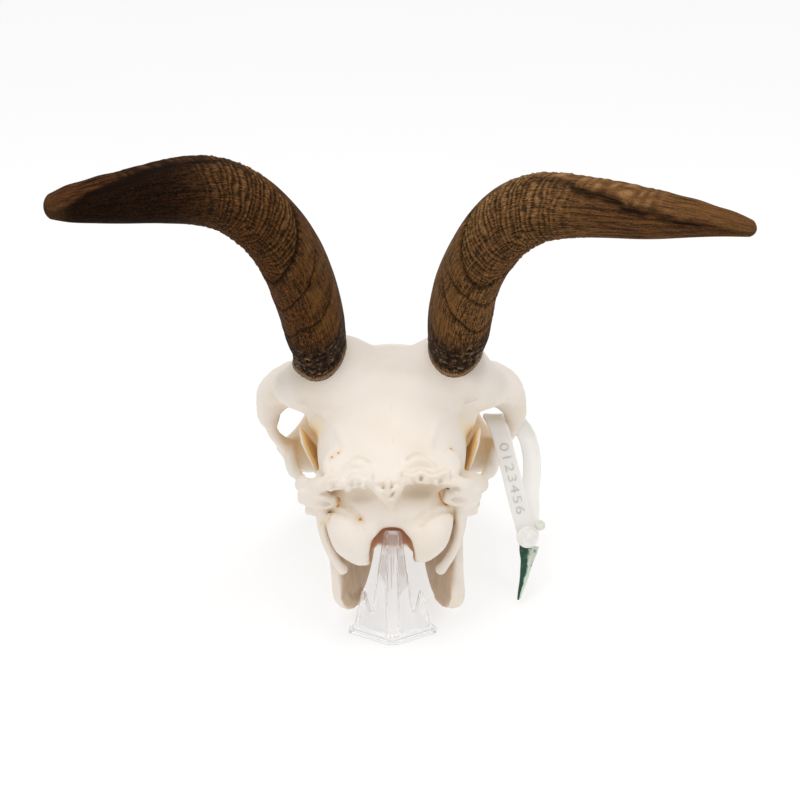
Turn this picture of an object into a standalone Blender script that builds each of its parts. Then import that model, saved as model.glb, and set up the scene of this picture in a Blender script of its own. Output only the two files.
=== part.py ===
# Billy-goat skull with its lower jaw and horn sheaths, propped at the back on a
# small clear easel, with a strap tag through the right eye socket.
#
# Drawn in millimetres in the skull's own frame: x across (+ is the animal's
# right), y forward to the nose, z up from the table.  The last step moves the
# whole to metres with the origin at the bottom centre of its box.

import math

import bmesh
import bpy
import numpy as np
from mathutils import Matrix, Vector

MM = 0.001
GAP = 0.35                  # clearance between touching pieces

# ---- driving sizes, mm -------------------------------------------------------
CONDYLE_TO_PREMAXILLA = 218.0
ORBIT_BREADTH = 119.0       # across the two outer orbit rims
BRAINCASE_BREADTH = 65.0
CONDYLE_BREADTH = 53.0      # across the two occipital condyles
FORAMEN_WIDTH = 19.2
ROOF_HEIGHT = 110.0         # top of the frontals over the table
JAW_SHIFT = 4.2             # the loose lower jaw leans a little to the right at the table
JAW_PIVOT = 65.0            # height at which it stands true again
BITE_REAR = (89.0, 41.0)    # y, z of the bite plane at the last molar
BITE_FRONT = (160.0, 33.0)  # y, z of the bite plane at the first premolar
TOOTH_GAP = 0.5
SETTLE = 1.3                # the jaw's lower border is set this far into the table, then cut level
EASEL_HEIGHT = 51.6
EASEL_THICK = 2.4
EASEL_RIM = 5.0
EASEL_Y = 1.9               # y of the easel's folded spine
STRAP_WIDTH = 7.6
STRAP_THICK = 1.2
BUTTON_RADIUS = 4.8
BUTTON_AT = (60.4, 46.7, 29.0)
KNOB_AT = (65.9, 48.8, 33.9)
VOXEL_CRANIUM = 1.25
VOXEL_JAW = 1.0


def bite(y):
    """Height of the bite plane at y."""
    (y0, z0), (y1, z1) = BITE_REAR, BITE_FRONT
    return z0 + (z1 - z0) * (y - y0) / (y1 - y0)


# ---- curve and loft helpers ----------------------------------------------------
def through(rows, per=3):
    """Catmull-Rom rows through the given rows, per steps between each pair."""
    r = np.array(rows, float)
    e = np.vstack([2 * r[0] - r[1], r, 2 * r[-1] - r[-2]])
    out = []
    for i in range(1, len(e) - 2):
        p0, p1, p2, p3 = e[i - 1], e[i], e[i + 1], e[i + 2]
        for k in range(per):
            t = k / per
            out.append(0.5 * (2 * p1 + (p2 - p0) * t + (2 * p0 - 5 * p1 + 4 * p2 - p3) * t * t
                              + (3 * p1 - p0 - 3 * p2 + p3) * t ** 3))
    out.append(r[-1])
    return np.array(out)


def unit(v):
    return v / np.linalg.norm(v)


def ring_frames(pts, side):
    """Tangent and the two section axes at each point; side is one vector or two to blend."""
    tan = np.gradient(pts, axis=0)
    side = np.array(side, float)
    res = []
    for i, t in enumerate(tan):
        t = unit(t)
        s = side if side.ndim == 1 else side[0] + (side[1] - side[0]) * i / (len(pts) - 1)
        a = unit(s - t * np.dot(s, t))
        res.append((t, a, np.cross(t, a)))
    return res


class Clay:
    """Collects overlapping closed bodies; a voxel remesh then makes them one."""

    def __init__(self):
        self.bm = bmesh.new()

    def _stitch(self, rings, ends):
        bm = self.bm
        vr = [[bm.verts.new(Vector(p) * MM) for p in ring] for ring in rings]
        n = len(vr[0])
        for a, b in zip(vr, vr[1:]):
            for i in range(n):
                bm.faces.new((a[i], a[(i + 1) % n], b[(i + 1) % n], b[i]))
        first, last = (bm.verts.new(Vector(p) * MM) for p in ends)
        for i in range(n):
            bm.faces.new((vr[0][(i + 1) % n], vr[0][i], first))
            bm.faces.new((vr[-1][i], vr[-1][(i + 1) % n], last))

    def loft(self, rows, side=(1, 0, 0), n=20, per=3, p=2.0, mirror=False, keel=0.0, cap=1.0,
             twin=False):
        """Closed body through rows of x, y, z, half a, half b with round ends."""
        if twin:
            self.loft(rows, side, n, per, p, False, keel, cap)
            mirror = True
        r = through(rows, per)
        pts, ra, rb = r[:, :3], r[:, 3], r[:, 4]
        fr = ring_frames(pts, side)
        rings = []

        def ring(c, a, b, k, ax, bx):
            out = []
            for j in range(n):
                f = 2 * math.pi * j / n
                cu, su = math.cos(f), math.sin(f)
                g = 1.0 + keel * math.exp(-(min(f, 2 * math.pi - f) / 0.42) ** 2)
                u = math.copysign(abs(cu) ** (2 / p), cu) * a * k * g
                v = math.copysign(abs(su) ** (2 / p), su) * b * k
                out.append(c + ax * u + bx * v)
            return out

        t, ax, bx = fr[0]
        m = min(ra[0], rb[0]) * cap
        ends = [pts[0] - t * m]
        for deg in (65, 35):
            rings.append(ring(pts[0] - t * m * math.sin(math.radians(deg)), ra[0], rb[0],
                              math.cos(math.radians(deg)), ax, bx))
        for (t, ax, bx), c, a, b in zip(fr, pts, ra, rb):
            rings.append(ring(c, a, b, 1.0, ax, bx))
        m = min(ra[-1], rb[-1]) * cap
        for deg in (35, 65):
            rings.append(ring(pts[-1] + t * m * math.sin(math.radians(deg)), ra[-1], rb[-1],
                              math.cos(math.radians(deg)), ax, bx))
        ends.append(pts[-1] + t * m)
        if mirror:
            flip = np.array([-1.0, 1, 1])
            rings = [[q * flip for q in rg][::-1] for rg in rings]
            ends = [q * flip for q in ends]
        self._stitch(rings, ends)

    def ball(self, c, r, pitch=0.0, yaw=0.0, roll=0.0, twin=False, seg=24):
        """Ellipsoid; pitch lifts its nose end, yaw turns it about z, roll about y (degrees)."""
        for sx in ((1, -1) if twin else (1,)):
            rot = (Matrix.Rotation(math.radians(-yaw * sx), 4, 'Z')
                   @ Matrix.Rotation(math.radians(pitch), 4, 'X')
                   @ Matrix.Rotation(math.radians(roll * sx), 4, 'Y'))
            mat = (Matrix.Translation(Vector((c[0] * sx, c[1], c[2])) * MM) @ rot
                   @ Matrix.Diagonal((r[0] * MM, r[1] * MM, r[2] * MM, 1)))
            bmesh.ops.create_uvsphere(self.bm, u_segments=seg, v_segments=seg // 2, radius=1.0,
                                      matrix=mat)

    def to_mesh(self, name):
        me = bpy.data.meshes.new(name)
        self.bm.to_mesh(me)
        self.bm.free()
        return me


# ---- object helpers ------------------------------------------------------------
for o in list(bpy.data.objects):
    bpy.data.objects.remove(o, do_unlink=True)


def link(name, me):
    ob = bpy.data.objects.new(name, me)
    bpy.context.scene.collection.objects.link(ob)
    return ob


def bake(ob, name):
    """Replace an object by its evaluated mesh."""
    dep = bpy.context.evaluated_depsgraph_get()
    dep.update()
    me = bpy.data.meshes.new_from_object(ob.evaluated_get(dep))
    bpy.data.objects.remove(ob, do_unlink=True)
    return link(name, me)


def fuse(name, clay, voxel, smooth=4, factor=0.5):
    ob = link(name, clay.to_mesh(name))
    m = ob.modifiers.new("fuse", 'REMESH')
    m.mode = 'VOXEL'
    m.voxel_size = voxel * MM
    if smooth:
        s = ob.modifiers.new("soften", 'SMOOTH')
        s.factor = factor
        s.iterations = smooth
    return bake(ob, name)


def cut(ob, cutter):
    m = ob.modifiers.new("cut", 'BOOLEAN')
    m.operation = 'DIFFERENCE'
    m.solver = 'EXACT'
    m.object = cutter
    res = bake(ob, ob.name)
    bpy.data.objects.remove(cutter, do_unlink=True)
    return res


def thin_out(ob, faces):
    """Decimate to about this many triangles."""
    now = sum(len(p.vertices) - 2 for p in ob.data.polygons)
    m = ob.modifiers.new("thin", 'DECIMATE')
    m.ratio = min(1.0, faces / now)
    m.use_collapse_triangulate = True
    return bake(ob, ob.name)


def largest_body(ob):
    """Drop stray crumbs, keeping the biggest connected body."""
    bm = bmesh.new()
    bm.from_mesh(ob.data)
    seen, best = set(), []
    for v in bm.verts:
        if v in seen:
            continue
        stack, body = [v], []
        seen.add(v)
        while stack:
            w = stack.pop()
            body.append(w)
            for e in w.link_edges:
                o = e.other_vert(w)
                if o not in seen:
                    seen.add(o)
                    stack.append(o)
        if len(body) > len(best):
            best = body
    keep = set(best)
    bmesh.ops.delete(bm, geom=[v for v in bm.verts if v not in keep], context='VERTS')
    bm.to_mesh(ob.data)
    bm.free()


def paint(ob, name, colour, rough, alpha=1.0):
    mat = bpy.data.materials.new(name)
    mat.use_nodes = True
    b = mat.node_tree.nodes["Principled BSDF"]
    b.inputs["Base Color"].default_value = (*colour, 1.0)
    b.inputs["Roughness"].default_value = rough
    b.inputs["Metallic"].default_value = 0.0
    b.inputs["Transmission Weight"].default_value = 1.0 - alpha
    ob.data.materials.clear()
    ob.data.materials.append(mat)
    ob.data.shade_smooth()
    ob.data.set_sharp_from_angle(angle=math.radians(50))
    return ob


# ---- horns ---------------------------------------------------------------------
# Centre line, then half depth (keel direction) and half width.  Each rises from
# the forehead, bends outward above the orbits and sweeps out and back.
HORN_RIGHT = [(31.0, 75.5, 95, 22.5, 13.2), (29.0, 71.5, 110, 23.2, 13.7),
              (29.3, 66, 123, 22.5, 13.8), (30.3, 60.5, 134, 21.6, 13.8),
              (32.2, 54, 146, 20.4, 13.6), (36.0, 46, 159, 19.0, 13.3),
              (41.5, 37, 172, 17.6, 12.9), (49.5, 27, 184, 16.0, 12.4),
              (60.0, 16.5, 192, 14.4, 11.6), (72.0, 6, 196, 13.0, 10.4),
              (86.0, -5, 198.5, 11.4, 9.1), (101.0, -16, 200, 9.5, 7.6),
              (117.0, -26, 201.5, 7.3, 6.0), (130.0, -34, 202, 5.0, 4.2),
              (138.5, -39, 201.6, 3.0, 2.8)]
HORN_LEFT = [(-34.0, 75.5, 95, 22.5, 13.2), (-33.0, 71.5, 109.5, 23.2, 13.7),
             (-33.8, 66.5, 122.5, 22.5, 13.8), (-35.4, 61.5, 133.5, 21.6, 13.8),
             (-38.0, 55.5, 145.5, 20.4, 13.6), (-41.5, 48, 158.5, 19.0, 13.4),
             (-47.0, 39.5, 172, 17.8, 13.2), (-55.5, 30, 185.5, 16.4, 12.8),
             (-66.0, 19.5, 196, 15.0, 12.0), (-77.5, 8, 202, 13.8, 11.0),
             (-90.0, -4, 205, 12.4, 9.8), (-102.5, -14.5, 206.5, 10.4, 8.4),
             (-114.0, -24, 208, 8.4, 6.8), (-123.5, -31.5, 209, 6.6, 5.4),
             (-130.5, -37, 209.8, 4.4, 4.0)]
HORN_SIDE = ((0, 1.0, 0.05), (0, 0.25, 1.0))


def horn(name, rows, skull):
    """Sheath whose foot follows the bone, a hair clear of it."""
    c = Clay()
    c.loft(rows, side=HORN_SIDE, n=16, per=2, keel=0.07, cap=0.45)
    ob = link(name, c.to_mesh(name))
    bone = link("bone_shape", skull.data.copy())
    m = bone.modifiers.new("grow", 'DISPLACE')
    m.strength = GAP * MM
    m.mid_level = 0.0
    bone = bake(bone, "bone_shape")
    ob = cut(ob, bone)
    largest_body(ob)
    return ob


# ---- cranium -------------------------------------------------------------------
def orbit_ring():
    """Centre line of the orbit's rim from the top forward, down and back."""
    return [(45, 96, 92.5, 4.6, 4.2), (43.8, 105.5, 90.5, 4.6, 4.0), (41, 115.5, 85.5, 4.8, 4.2),
            (38, 123, 77, 5.0, 4.6), (36.6, 126, 67, 5.0, 4.8), (37.6, 125, 57, 5.0, 4.8),
            (42, 118, 48.5, 5.4, 4.0), (46.2, 108, 45.8, 5.8, 3.6), (48.0, 99, 47.8, 6.0, 3.6)]


def cranium():
    c = Clay()
    half = BRAINCASE_BREADTH / 2
    o = ORBIT_BREADTH / 2
    # braincase, frontal dome, forehead and the narrow wall between the orbits
    c.ball((0, 46, 73.5), (half, 46, 26), pitch=20, seg=32)
    c.ball((0, 63, 82), (37.5, 27, 22), seg=32)
    c.ball((0, 70, ROOF_HEIGHT - 17), (43, 30, 14), pitch=4, seg=32)
    c.loft([(0, 60, 90, 33, 15), (0, 80, 94, 40, 12.2), (0, 95, 88.4, 41, 11.2),
            (0, 108, 83.4, 37, 11), (0, 122, 77.4, 31, 11)], p=2.3)
    c.ball((32, 72, 96), (17, 27, 12.5), twin=True)
    c.ball((26, 71, 103), (15, 22, 11.5), twin=True, seg=32)
    c.ball((40.5, 69, 97.5), (10, 16, 10), twin=True)
    c.ball((31, 57, 98.5), (13, 9, 9), twin=True)
    c.loft([(0, 50, 74, 30, 23), (0, 72, 75, 23, 23), (0, 92, 73, 19, 23), (0, 112, 69, 20, 22),
            (0, 128, 68, 27, 20)], p=2.2)
    # face from the front of the orbits to the muzzle
    c.loft([(0, 120, 66.5, 36, 22), (0, 129, 64.5, 35, 21.5), (0, 141, 61, 31, 20.3),
            (0, 155, 57.5, 25.5, 17.8), (0, 170, 53.6, 19.8, 14.6), (0, 182, 51, 16, 11.5)], p=2.4)
    c.loft([(0, 106, 90, 14, 5), (0, 130, 80.5, 12, 5), (0, 155, 71, 10.5, 4.6),
            (0, 178, 63.0, 8.6, 3.6), (0, 190, 59.6, 5.0, 2.2)])
    # postorbital process and bar
    c.loft([(30, 83, 92, 16, 8.5), (40, 86, 90.5, 15, 5.8), (48, 88, 88.5, 12.5, 4.6),
            (o - 5.6, 89.5, 83.5, 9.4, 4.0), (o - 3.6, 91.5, 76, 6.6, 3.7),
            (o - 3.7, 92.5, 68, 5.4, 3.6), (o - 5.6, 94.5, 60, 5.4, 3.6),
            (50.2, 98, 53, 6.4, 3.8)], side=((0, 0.78, 0.62), (0, 1, 0)), twin=True, per=3, n=16)
    c.loft([(28, 78, 84, 8.0, 5.5), (36, 80.5, 82.5, 8.2, 5.0), (44, 83.5, 81.5, 8.0, 4.8),
            (50, 86.5, 80.0, 7.6, 4.6), (54.5, 89.0, 76.0, 6.8, 4.4), (56.2, 91.0, 70.0, 5.6, 4.2)],
           side=(0, 0.25, 1), twin=True, n=14)
    c.loft([(-52, 84, 86, 6.5, 5.0), (-56.4, 88, 82, 6.8, 4.4), (-57.6, 90.5, 75, 6.4, 3.6),
            (-56.8, 92, 68, 5.6, 3.4)], side=(0, 1, 0), n=14)
    c.ball((40, 95, 91.5), (11, 15, 6.0), twin=True)
    c.ball((34, 74, 90.5), (15, 17, 8.5), twin=True)
    c.loft(orbit_ring(), side=(0.9, 0.35, 0.25), twin=True, n=14)
    c.ball((31, 129, 63), (9.5, 11, 18), twin=True)
    # cheek: jugal, floor of the orbit, tuber with the molars
    c.ball((39, 117, 45), (9, 18, 6.4), twin=True, yaw=-16)
    c.ball((38, 109, 45), (14, 17, 4.8), twin=True)
    c.ball((38.5, 98, 45.5), (9, 14, 5.8), twin=True)
    c.loft([(46.0, 104, 46.0, 7.0, 3.8), (46.6, 94, 46.2, 7.2, 3.5), (45.8, 85, 47.2, 6.4, 3.1),
            (44.6, 74, 50.0, 4.2, 2.8), (42.4, 62, 53.4, 3.3, 2.5), (39.5, 50, 56.6, 3.0, 2.4),
            (36.5, 38, 60.0, 3.4, 3.0), (33, 29, 62.6, 4.6, 4.6)], side=(0, 0, 1), twin=True, n=14)
    c.ball((25, 106, 49.5), (9.5, 27, 8.0), twin=True)
    c.ball((24, 130, 47.5), (9, 34, 8.5), twin=True, yaw=-8)
    # upper cheek teeth down to the bite plane
    c.loft([(25, 90, bite(90) + 7, 5.2, 6.6), (25, 104, bite(104) + 7, 5.6, 6.6),
            (24, 122, bite(122) + 7, 5.4, 6.6), (21.5, 140, bite(140) + 7, 4.8, 6.6),
            (18.6, 158, bite(158) + 7, 3.8, 6.6)], p=5, twin=True, n=20, cap=0.3)
    # temporal base: squamosal shelf over the jaw joint, ear, mastoid, bulla
    c.ball((32, 31, 62.5), (10, 9, 4.6), twin=True)
    c.loft([(22, 22, 57, 6, 6), (31, 21, 57.5, 5, 5.4), (36, 20.5, 58, 4.2, 4.6)],
           side=(0, 1, 0), twin=True, n=12, cap=0.3)
    c.ball((30, 17, 64.5), (8.2, 6.5, 7.2), twin=True)
    c.ball((15.5, 33, 46.5), (6, 10.5, 7.5), twin=True)
    # nuchal plate, the roof behind the parietals, crest and ridge down to the mastoid
    c.ball((0, 20, 62), (30, 12, 18), seg=32)
    c.ball((0, 20, 76.5), (29.5, 19, 7.5), pitch=24, seg=32)
    c.loft([(-34, 18, 67, 3.5, 3), (-29, 11, 71.5, 4, 3), (-19, 7.5, 75.2, 4.4, 2.9),
            (-8, 7, 76.4, 4.4, 2.7), (0, 8.5, 75.6, 4.4, 2.7), (8, 7, 76.4, 4.4, 2.7),
            (19, 7.5, 75.2, 4.4, 2.9), (29, 11, 71.5, 4, 3), (34, 18, 67, 3.5, 3)],
           side=(0, 1, 0.35), n=14)
    # occipital condyles, base of the skull, paroccipital processes
    k = CONDYLE_BREADTH / 2 - 26.5
    c.loft([(24 + k, 14.5, 57, 5.5, 6), (20.5 + k, 9.5, 53.5, 8.4, 8), (16.8 + k, 7.2, 48.2, 9.2, 7.6),
            (13 + k, 7.6, 42.8, 7.8, 7), (10.6 + k, 10.5, 39, 4.8, 5.5)], side=(1, 0, 0.8), twin=True)
    c.ball((11, 19, 42), (7, 9, 5), twin=True)
    c.loft([(0, 25, 39.5, 12, 4.4), (0, 45, 44, 9.5, 5), (0, 68, 48, 8, 6.5), (0, 84, 52, 9, 8)])
    c.loft([(29, 17, 59, 5.2, 4.4), (29, 15.5, 50, 4.8, 3.9), (27, 14, 42.5, 3.9, 3.3),
            (23.8, 13.2, 35.5, 3.2, 2.9), (21.2, 13, 30.8, 2.7, 2.6)], side=(0, 1, 0), twin=True, n=12)
    # pterygoid and palatine walls of the choana
    c.loft([(9, 66, 43.5, 7.5, 1.8), (10, 78, 44, 8.5, 1.9), (12, 92, 45, 8, 2.4)], side=(0, 0, 1),
           twin=True, n=12)
    c.ball((0, 128, 48), (19, 40, 5.0))
    # premaxillae with their nasal processes
    c.loft([(14.2, 164, 47.5, 10.5, 3.0), (13.4, 177, 46.5, 10.2, 2.7), (12.4, 189, 43.4, 7.0, 2.5),
            (10.4, 199, 40.4, 4.2, 2.6), (7.4, 208, 38.8, 2.9, 3.0),
            (4.4, CONDYLE_TO_PREMAXILLA - 4, 38.2, 2.4, 2.8)], side=(0, 0, 1), twin=True, n=14)
    c.loft([(8.6, 168, 40.5, 5.5, 2.4), (8.0, 186, 39.6, 4.6, 2.2), (6.6, 202, 38.6, 3.8, 2.0),
            (5.2, 210, 38.2, 3.4, 2.0)], twin=True, n=12)
    c.loft([(-4, 211, 38.4, 3, 2), (4, 211, 38.4, 3, 2)], side=(0, 1, 0), n=10)
    ob = fuse("cranium", c, VOXEL_CRANIUM, smooth=5)

    # openings: orbits, foramen magnum, nose, palate vault, choana
    d = Clay()
    d.ball((47, 107.5, 70.5), (22, 17.2, 18.2), twin=True, yaw=22)
    d.ball((38, 105, 72), (17, 14, 13.5), twin=True)
    d.loft([(0, -14, 40, FORAMEN_WIDTH / 2, 8.6), (0, 2, 42.4, FORAMEN_WIDTH / 2, 9.2),
            (0, 14, 44.4, FORAMEN_WIDTH / 2, 8.8), (0, 26, 49, 9.0, 7.8), (0, 40, 56, 7, 6)])
    d.loft([(0, 232, 50, 9, 9.5), (0, 196, 50, 9.6, 9.0), (0, 180, 51.5, 9.6, 8.2),
            (0, 165, 54, 8.5, 7.5), (0, 150, 57, 6, 6)])
    d.ball((0, 128, 37), (17, 40, 8.0))
    d.loft([(0, 58, 38, 6.6, 5), (0, 76, 42, 6.6, 6), (0, 92, 44, 6.4, 6)])
    cutter = fuse("openings", d, VOXEL_CRANIUM, smooth=2)
    ob = cut(ob, cutter)
    # soften the cut edges again, then thin the mesh
    c2 = Clay()
    c2.bm.from_mesh(ob.data)
    bpy.data.objects.remove(ob, do_unlink=True)
    ob = fuse("cranium", c2, VOXEL_CRANIUM, smooth=2)
    largest_body(ob)
    ob = thin_out(ob, 4450)
    return paint(ob, "bone", (0.86, 0.80, 0.70), 0.55)


# ---- lower jaw, one half a side ------------------------------------------------
def jaw(side):
    s = 1 if side == "right" else -1
    c = Clay()

    def rows(r):
        # the loose jaw leans sideways: most at the table, none at the joint
        return [(s * x + JAW_SHIFT * (1 - z / JAW_PIVOT), y, z - SETTLE * (1 - z / 75), a, b)
                for x, y, z, a, b in r]

    # the lower edges of the two halves stand closer together, more so in front
    lean = ((0.46 * s, 0, 1), (0.10 * s, 0, 1))
    c.loft(rows([(3.4, 207, 30.2, 3.4, 2.6), (5.2, 199, 25.2, 5.6, 3.5), (7.0, 188, 20.0, 7.2, 4.0),
                 (9.2, 174, 17.2, 8.8, 4.1), (12.0, 160, 16.8, 11.6, 4.6), (14.8, 140, 16.8, 14.2, 5.2),
                 (17.0, 118, 16.9, 16.2, 5.6), (18.0, 98, 17.6, 17.6, 5.4),
                 (18.0, 82, 19.8, 19.6, 4.4), (18.9, 66, 22.8, 22.6, 3.4),
                 (20.7, 50, 25.4, 24.8, 2.9), (22.9, 38, 27.5, 25.2, 2.7),
                 (24.8, 28, 30.5, 22.6, 2.5), (25.5, 21, 33, 18.4, 2.2)]), side=lean, n=24, p=2.2)
    # ramus up to the condyle, and the blade of the coronoid process
    c.loft(rows([(25.4, 40, 32, 15, 2.7), (26.6, 35, 42, 11, 2.7), (28.6, 31.5, 49, 7, 3.2),
                 (30.2, 30.5, 52.2, 4.6, 4.0)]), side=(0, 1, 0), n=16)
    c.loft(rows([(28.0, 30.5, 53.9, 3.4, 2.3), (35.4, 30.5, 53.9, 3.4, 2.3)]), side=(0, 1, 0), n=12)
    c.loft(rows([(23.8, 62, 36, 18, 2.6), (27.6, 61, 49, 14.5, 2.1), (32.2, 58.5, 60, 10.5, 1.7),
                 (36.0, 55, 70, 7.0, 1.4), (38.8, 50.5, 77.5, 4.0, 1.2)]), side=(0, 1, 0), n=16)
    # angle of the jaw, thickened edge
    c.loft(rows([(26.6, 24, 45, 2.6, 2.4), (26.3, 19.5, 36, 2.8, 2.5), (25.7, 17, 26, 3.0, 2.5),
                 (25.6, 20, 15, 3.2, 2.6), (23.3, 29.5, 6.8, 3.4, 2.8), (19.0, 42, 3.4, 3.4, 3.0)]),
           side=(1, 0, 0), n=12)
    # cheek teeth up to the bite plane, incisors under the front of the premaxilla
    top = -TOOTH_GAP
    c.loft(rows([(23.6, 90, bite(90) - 6.6 + top, 3.6, 6.6), (23.0, 104, bite(104) - 6.6 + top, 3.9, 6.6),
                 (21.4, 122, bite(122) - 6.6 + top, 3.8, 6.6), (18.6, 140, bite(140) - 6.6 + top, 3.3, 6.6),
                 (15.6, 157, bite(157) - 6.6 + top, 2.7, 6.6)]), p=5, n=20, cap=0.3)
    c.loft(rows([(2.8, 206, 30.4, 2.2, 3.0), (3.0, 211.5, 32.6, 2.4, 1.5)]), n=10)
    c.loft(rows([(6.6, 204.5, 30.0, 2.4, 3.0), (7.4, 209.5, 32.2, 2.2, 1.4)]), n=10)
    name = "mandible_" + side
    ob = fuse(name, c, VOXEL_JAW, smooth=3)
    largest_body(ob)
    ob = thin_out(ob, 1150)
    # flat table line under the jaw, joint face between the halves
    ob = trim(ob, (0, 0, -20), (200, 500, 40))
    mid = JAW_SHIFT * 0.6
    ob = trim(ob, (mid + s * (0.2 - 40), 200, 60), (80, 80, 200))
    largest_body(ob)
    return paint(ob, "jawbone_" + side, (0.85, 0.78, 0.67), 0.55)


def trim(ob, centre, size):
    bm = bmesh.new()
    bmesh.ops.create_cube(bm, size=1.0, matrix=Matrix.Translation(Vector(centre) * MM)
                          @ Matrix.Diagonal((size[0] * MM, size[1] * MM, size[2] * MM, 1)))
    me = bpy.data.meshes.new("block")
    bm.to_mesh(me)
    bm.free()
    return cut(ob, link("block", me))


# ---- clear easel ---------------------------------------------------------------
EASEL_FOOT = 21.8           # reach of each wing along its own plane
EASEL_ANGLE = 57.0          # wings from the fore-aft line


def plate(outline, thick):
    """Flat plate from a closed outline of (reach, height), centred on its own plane."""
    bm = bmesh.new()
    near = [bm.verts.new(Vector((u, -thick / 2, w)) * MM) for u, w in outline]
    far = [bm.verts.new(Vector((u, thick / 2, w)) * MM) for u, w in outline]
    n = len(outline)
    bm.faces.new(near)
    bm.faces.new(far[::-1])
    for i in range(n):
        bm.faces.new((near[(i + 1) % n], near[i], far[i], far[(i + 1) % n]))
    bmesh.ops.recalc_face_normals(bm, faces=bm.faces)
    me = bpy.data.meshes.new("plate")
    bm.to_mesh(me)
    bm.free()
    return link("plate", me)


def easel():
    """Two wings folded along an upright spine, each with a hook and a thicker rim to stand on."""
    h, foot = EASEL_HEIGHT, EASEL_FOOT
    wing = plate([(-4, 1.0), (foot - 1.2, 1.0), (foot - 2.6, 4.8), (15.4, 21.6), (14.2, 22.0),
                  (11.6, 12.8), (10.4, 12.8), (4.6, h - 1.5), (3.4, h), (-4, h)], EASEL_THICK)
    rim = plate([(-4, 0), (foot, 0), (foot, 3.0), (-4, 3.0)], EASEL_RIM)
    m = wing.modifiers.new("join", 'BOOLEAN')
    m.operation = 'UNION'
    m.solver = 'EXACT'
    m.object = rim
    wing = bake(wing, "easel")
    bpy.data.objects.remove(rim, do_unlink=True)
    # swing the wing forward from the spine, halve it there and mirror it
    bm = bmesh.new()
    bm.from_mesh(wing.data)
    bmesh.ops.rotate(bm, verts=bm.verts, cent=(0, 0, 0),
                     matrix=Matrix.Rotation(math.radians(90 - EASEL_ANGLE), 3, 'Z'))
    bmesh.ops.bisect_plane(bm, geom=bm.verts[:] + bm.edges[:] + bm.faces[:], plane_co=(0, 0, 0),
                           plane_no=(1, 0, 0), clear_inner=True)
    bm.to_mesh(wing.data)
    bm.free()
    m = wing.modifiers.new("pair", 'MIRROR')
    m.merge_threshold = 0.00001
    wing = bake(wing, "easel")
    wing.data.transform(Matrix.Translation(Vector((0.4, EASEL_Y, 0)) * MM))
    wing = trim(wing, (0, EASEL_Y - 1.6 - 10, 0), (60, 20, 30))
    return paint(wing, "clear_plastic", (0.93, 0.93, 0.95), 0.12, alpha=0.1)


# ---- tag -----------------------------------------------------------------------
def strap_path():
    """Strap centre line: from the button up the near side, over the bar, down the far side."""
    return [(60.2, 48.9, 27.6), (59.0, 52.2, 33.0), (56.2, 58.0, 42.0), (53.2, 65.0, 52.8),
            (50.4, 71.6, 62.2), (48.6, 76.8, 68.2), (46.6, 81.6, 70.7), (45.4, 89.0, 71.3),
            (46.8, 97.0, 70.4), (51.4, 102.8, 66.6), (57.6, 105.2, 61.4), (62.2, 102.6, 54.6),
            (64.2, 95.4, 48.2), (64.2, 86.0, 42.2), (63.0, 76.0, 37.4), (62.6, 66.0, 33.0),
            (62.0, 57.0, 29.8), (61.6, 52.2, 27.6)]


def tag():
    p = through([(*q, 0, 0) for q in strap_path()], 3)[:, :3]
    tan = np.gradient(p, axis=0)
    bm = bmesh.new()
    rings = []
    for q, t in zip(p, tan):
        # the band's width stays as near across the skull as its direction lets it
        t = unit(t)
        wide = unit(np.array([1.0, 0, 0]) - t * t[0])
        out = np.cross(wide, t)
        w, h = STRAP_WIDTH / 2, STRAP_THICK / 2
        rings.append([bm.verts.new(Vector(q + wide * a * w + out * b * h) * MM)
                      for a, b in ((1, 1), (-1, 1), (-1, -1), (1, -1))])
    for a, b in zip(rings, rings[1:]):
        for i in range(4):
            bm.faces.new((a[i], a[(i + 1) % 4], b[(i + 1) % 4], b[i]))
    bm.faces.new(rings[0])
    bm.faces.new(rings[-1][::-1])
    bmesh.ops.recalc_face_normals(bm, faces=bm.faces)
    me = bpy.data.meshes.new("tag_strap")
    bm.to_mesh(me)
    bm.free()
    paint(link("tag_strap", me), "strap", (0.88, 0.89, 0.9), 0.4)
    # round lock over the strap's ends, with a small knob at its upper right
    facing = Vector((0.05, -0.83, 0.55)).normalized()
    button = round_piece("tag_button", BUTTON_AT, facing, BUTTON_RADIUS, 2.4)
    paint(button, "button", (0.90, 0.90, 0.90), 0.4)
    c = Clay()
    c.ball(KNOB_AT, (2.5, 2.2, 2.5), seg=12)
    paint(link("tag_knob", c.to_mesh("tag_knob")), "knob", (0.88, 0.88, 0.84), 0.4)
    # thin tail hanging from the lock to just above the table
    c = Clay()
    c.loft([(61.4, 49.6, 23.6, 4.6, 0.6), (60.4, 46.6, 17.4, 3.0, 0.6), (58.8, 42.0, 10.5, 1.9, 0.6),
            (57.0, 38.0, 5.0, 1.1, 0.6), (56.3, 36.2, 2.2, 0.8, 0.6)], side=(1, 0, 0), n=8, per=1, p=3)
    paint(link("tag_tail", c.to_mesh("tag_tail")), "tail", (0.42, 0.62, 0.40), 0.45)


def round_piece(name, centre, axis, radius, thick, seg=24):
    """Disc with a small bevel, its axis along the given direction."""
    bm = bmesh.new()
    rot = Vector((0, 0, 1)).rotation_difference(Vector(axis)).to_matrix().to_4x4()
    bmesh.ops.create_cone(bm, cap_ends=True, segments=seg, radius1=radius * MM,
                          radius2=radius * MM, depth=thick * MM,
                          matrix=Matrix.Translation(Vector(centre) * MM) @ rot)
    me = bpy.data.meshes.new(name)
    bm.to_mesh(me)
    bm.free()
    return link(name, me)


# ---- build ---------------------------------------------------------------------
skull = cranium()
jaw("right")
jaw("left")
for n, rows in (("horn_right", HORN_RIGHT), ("horn_left", HORN_LEFT)):
    paint(horn(n, rows, skull), n, (0.16, 0.10, 0.06), 0.6)
easel()
tag()

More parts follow.
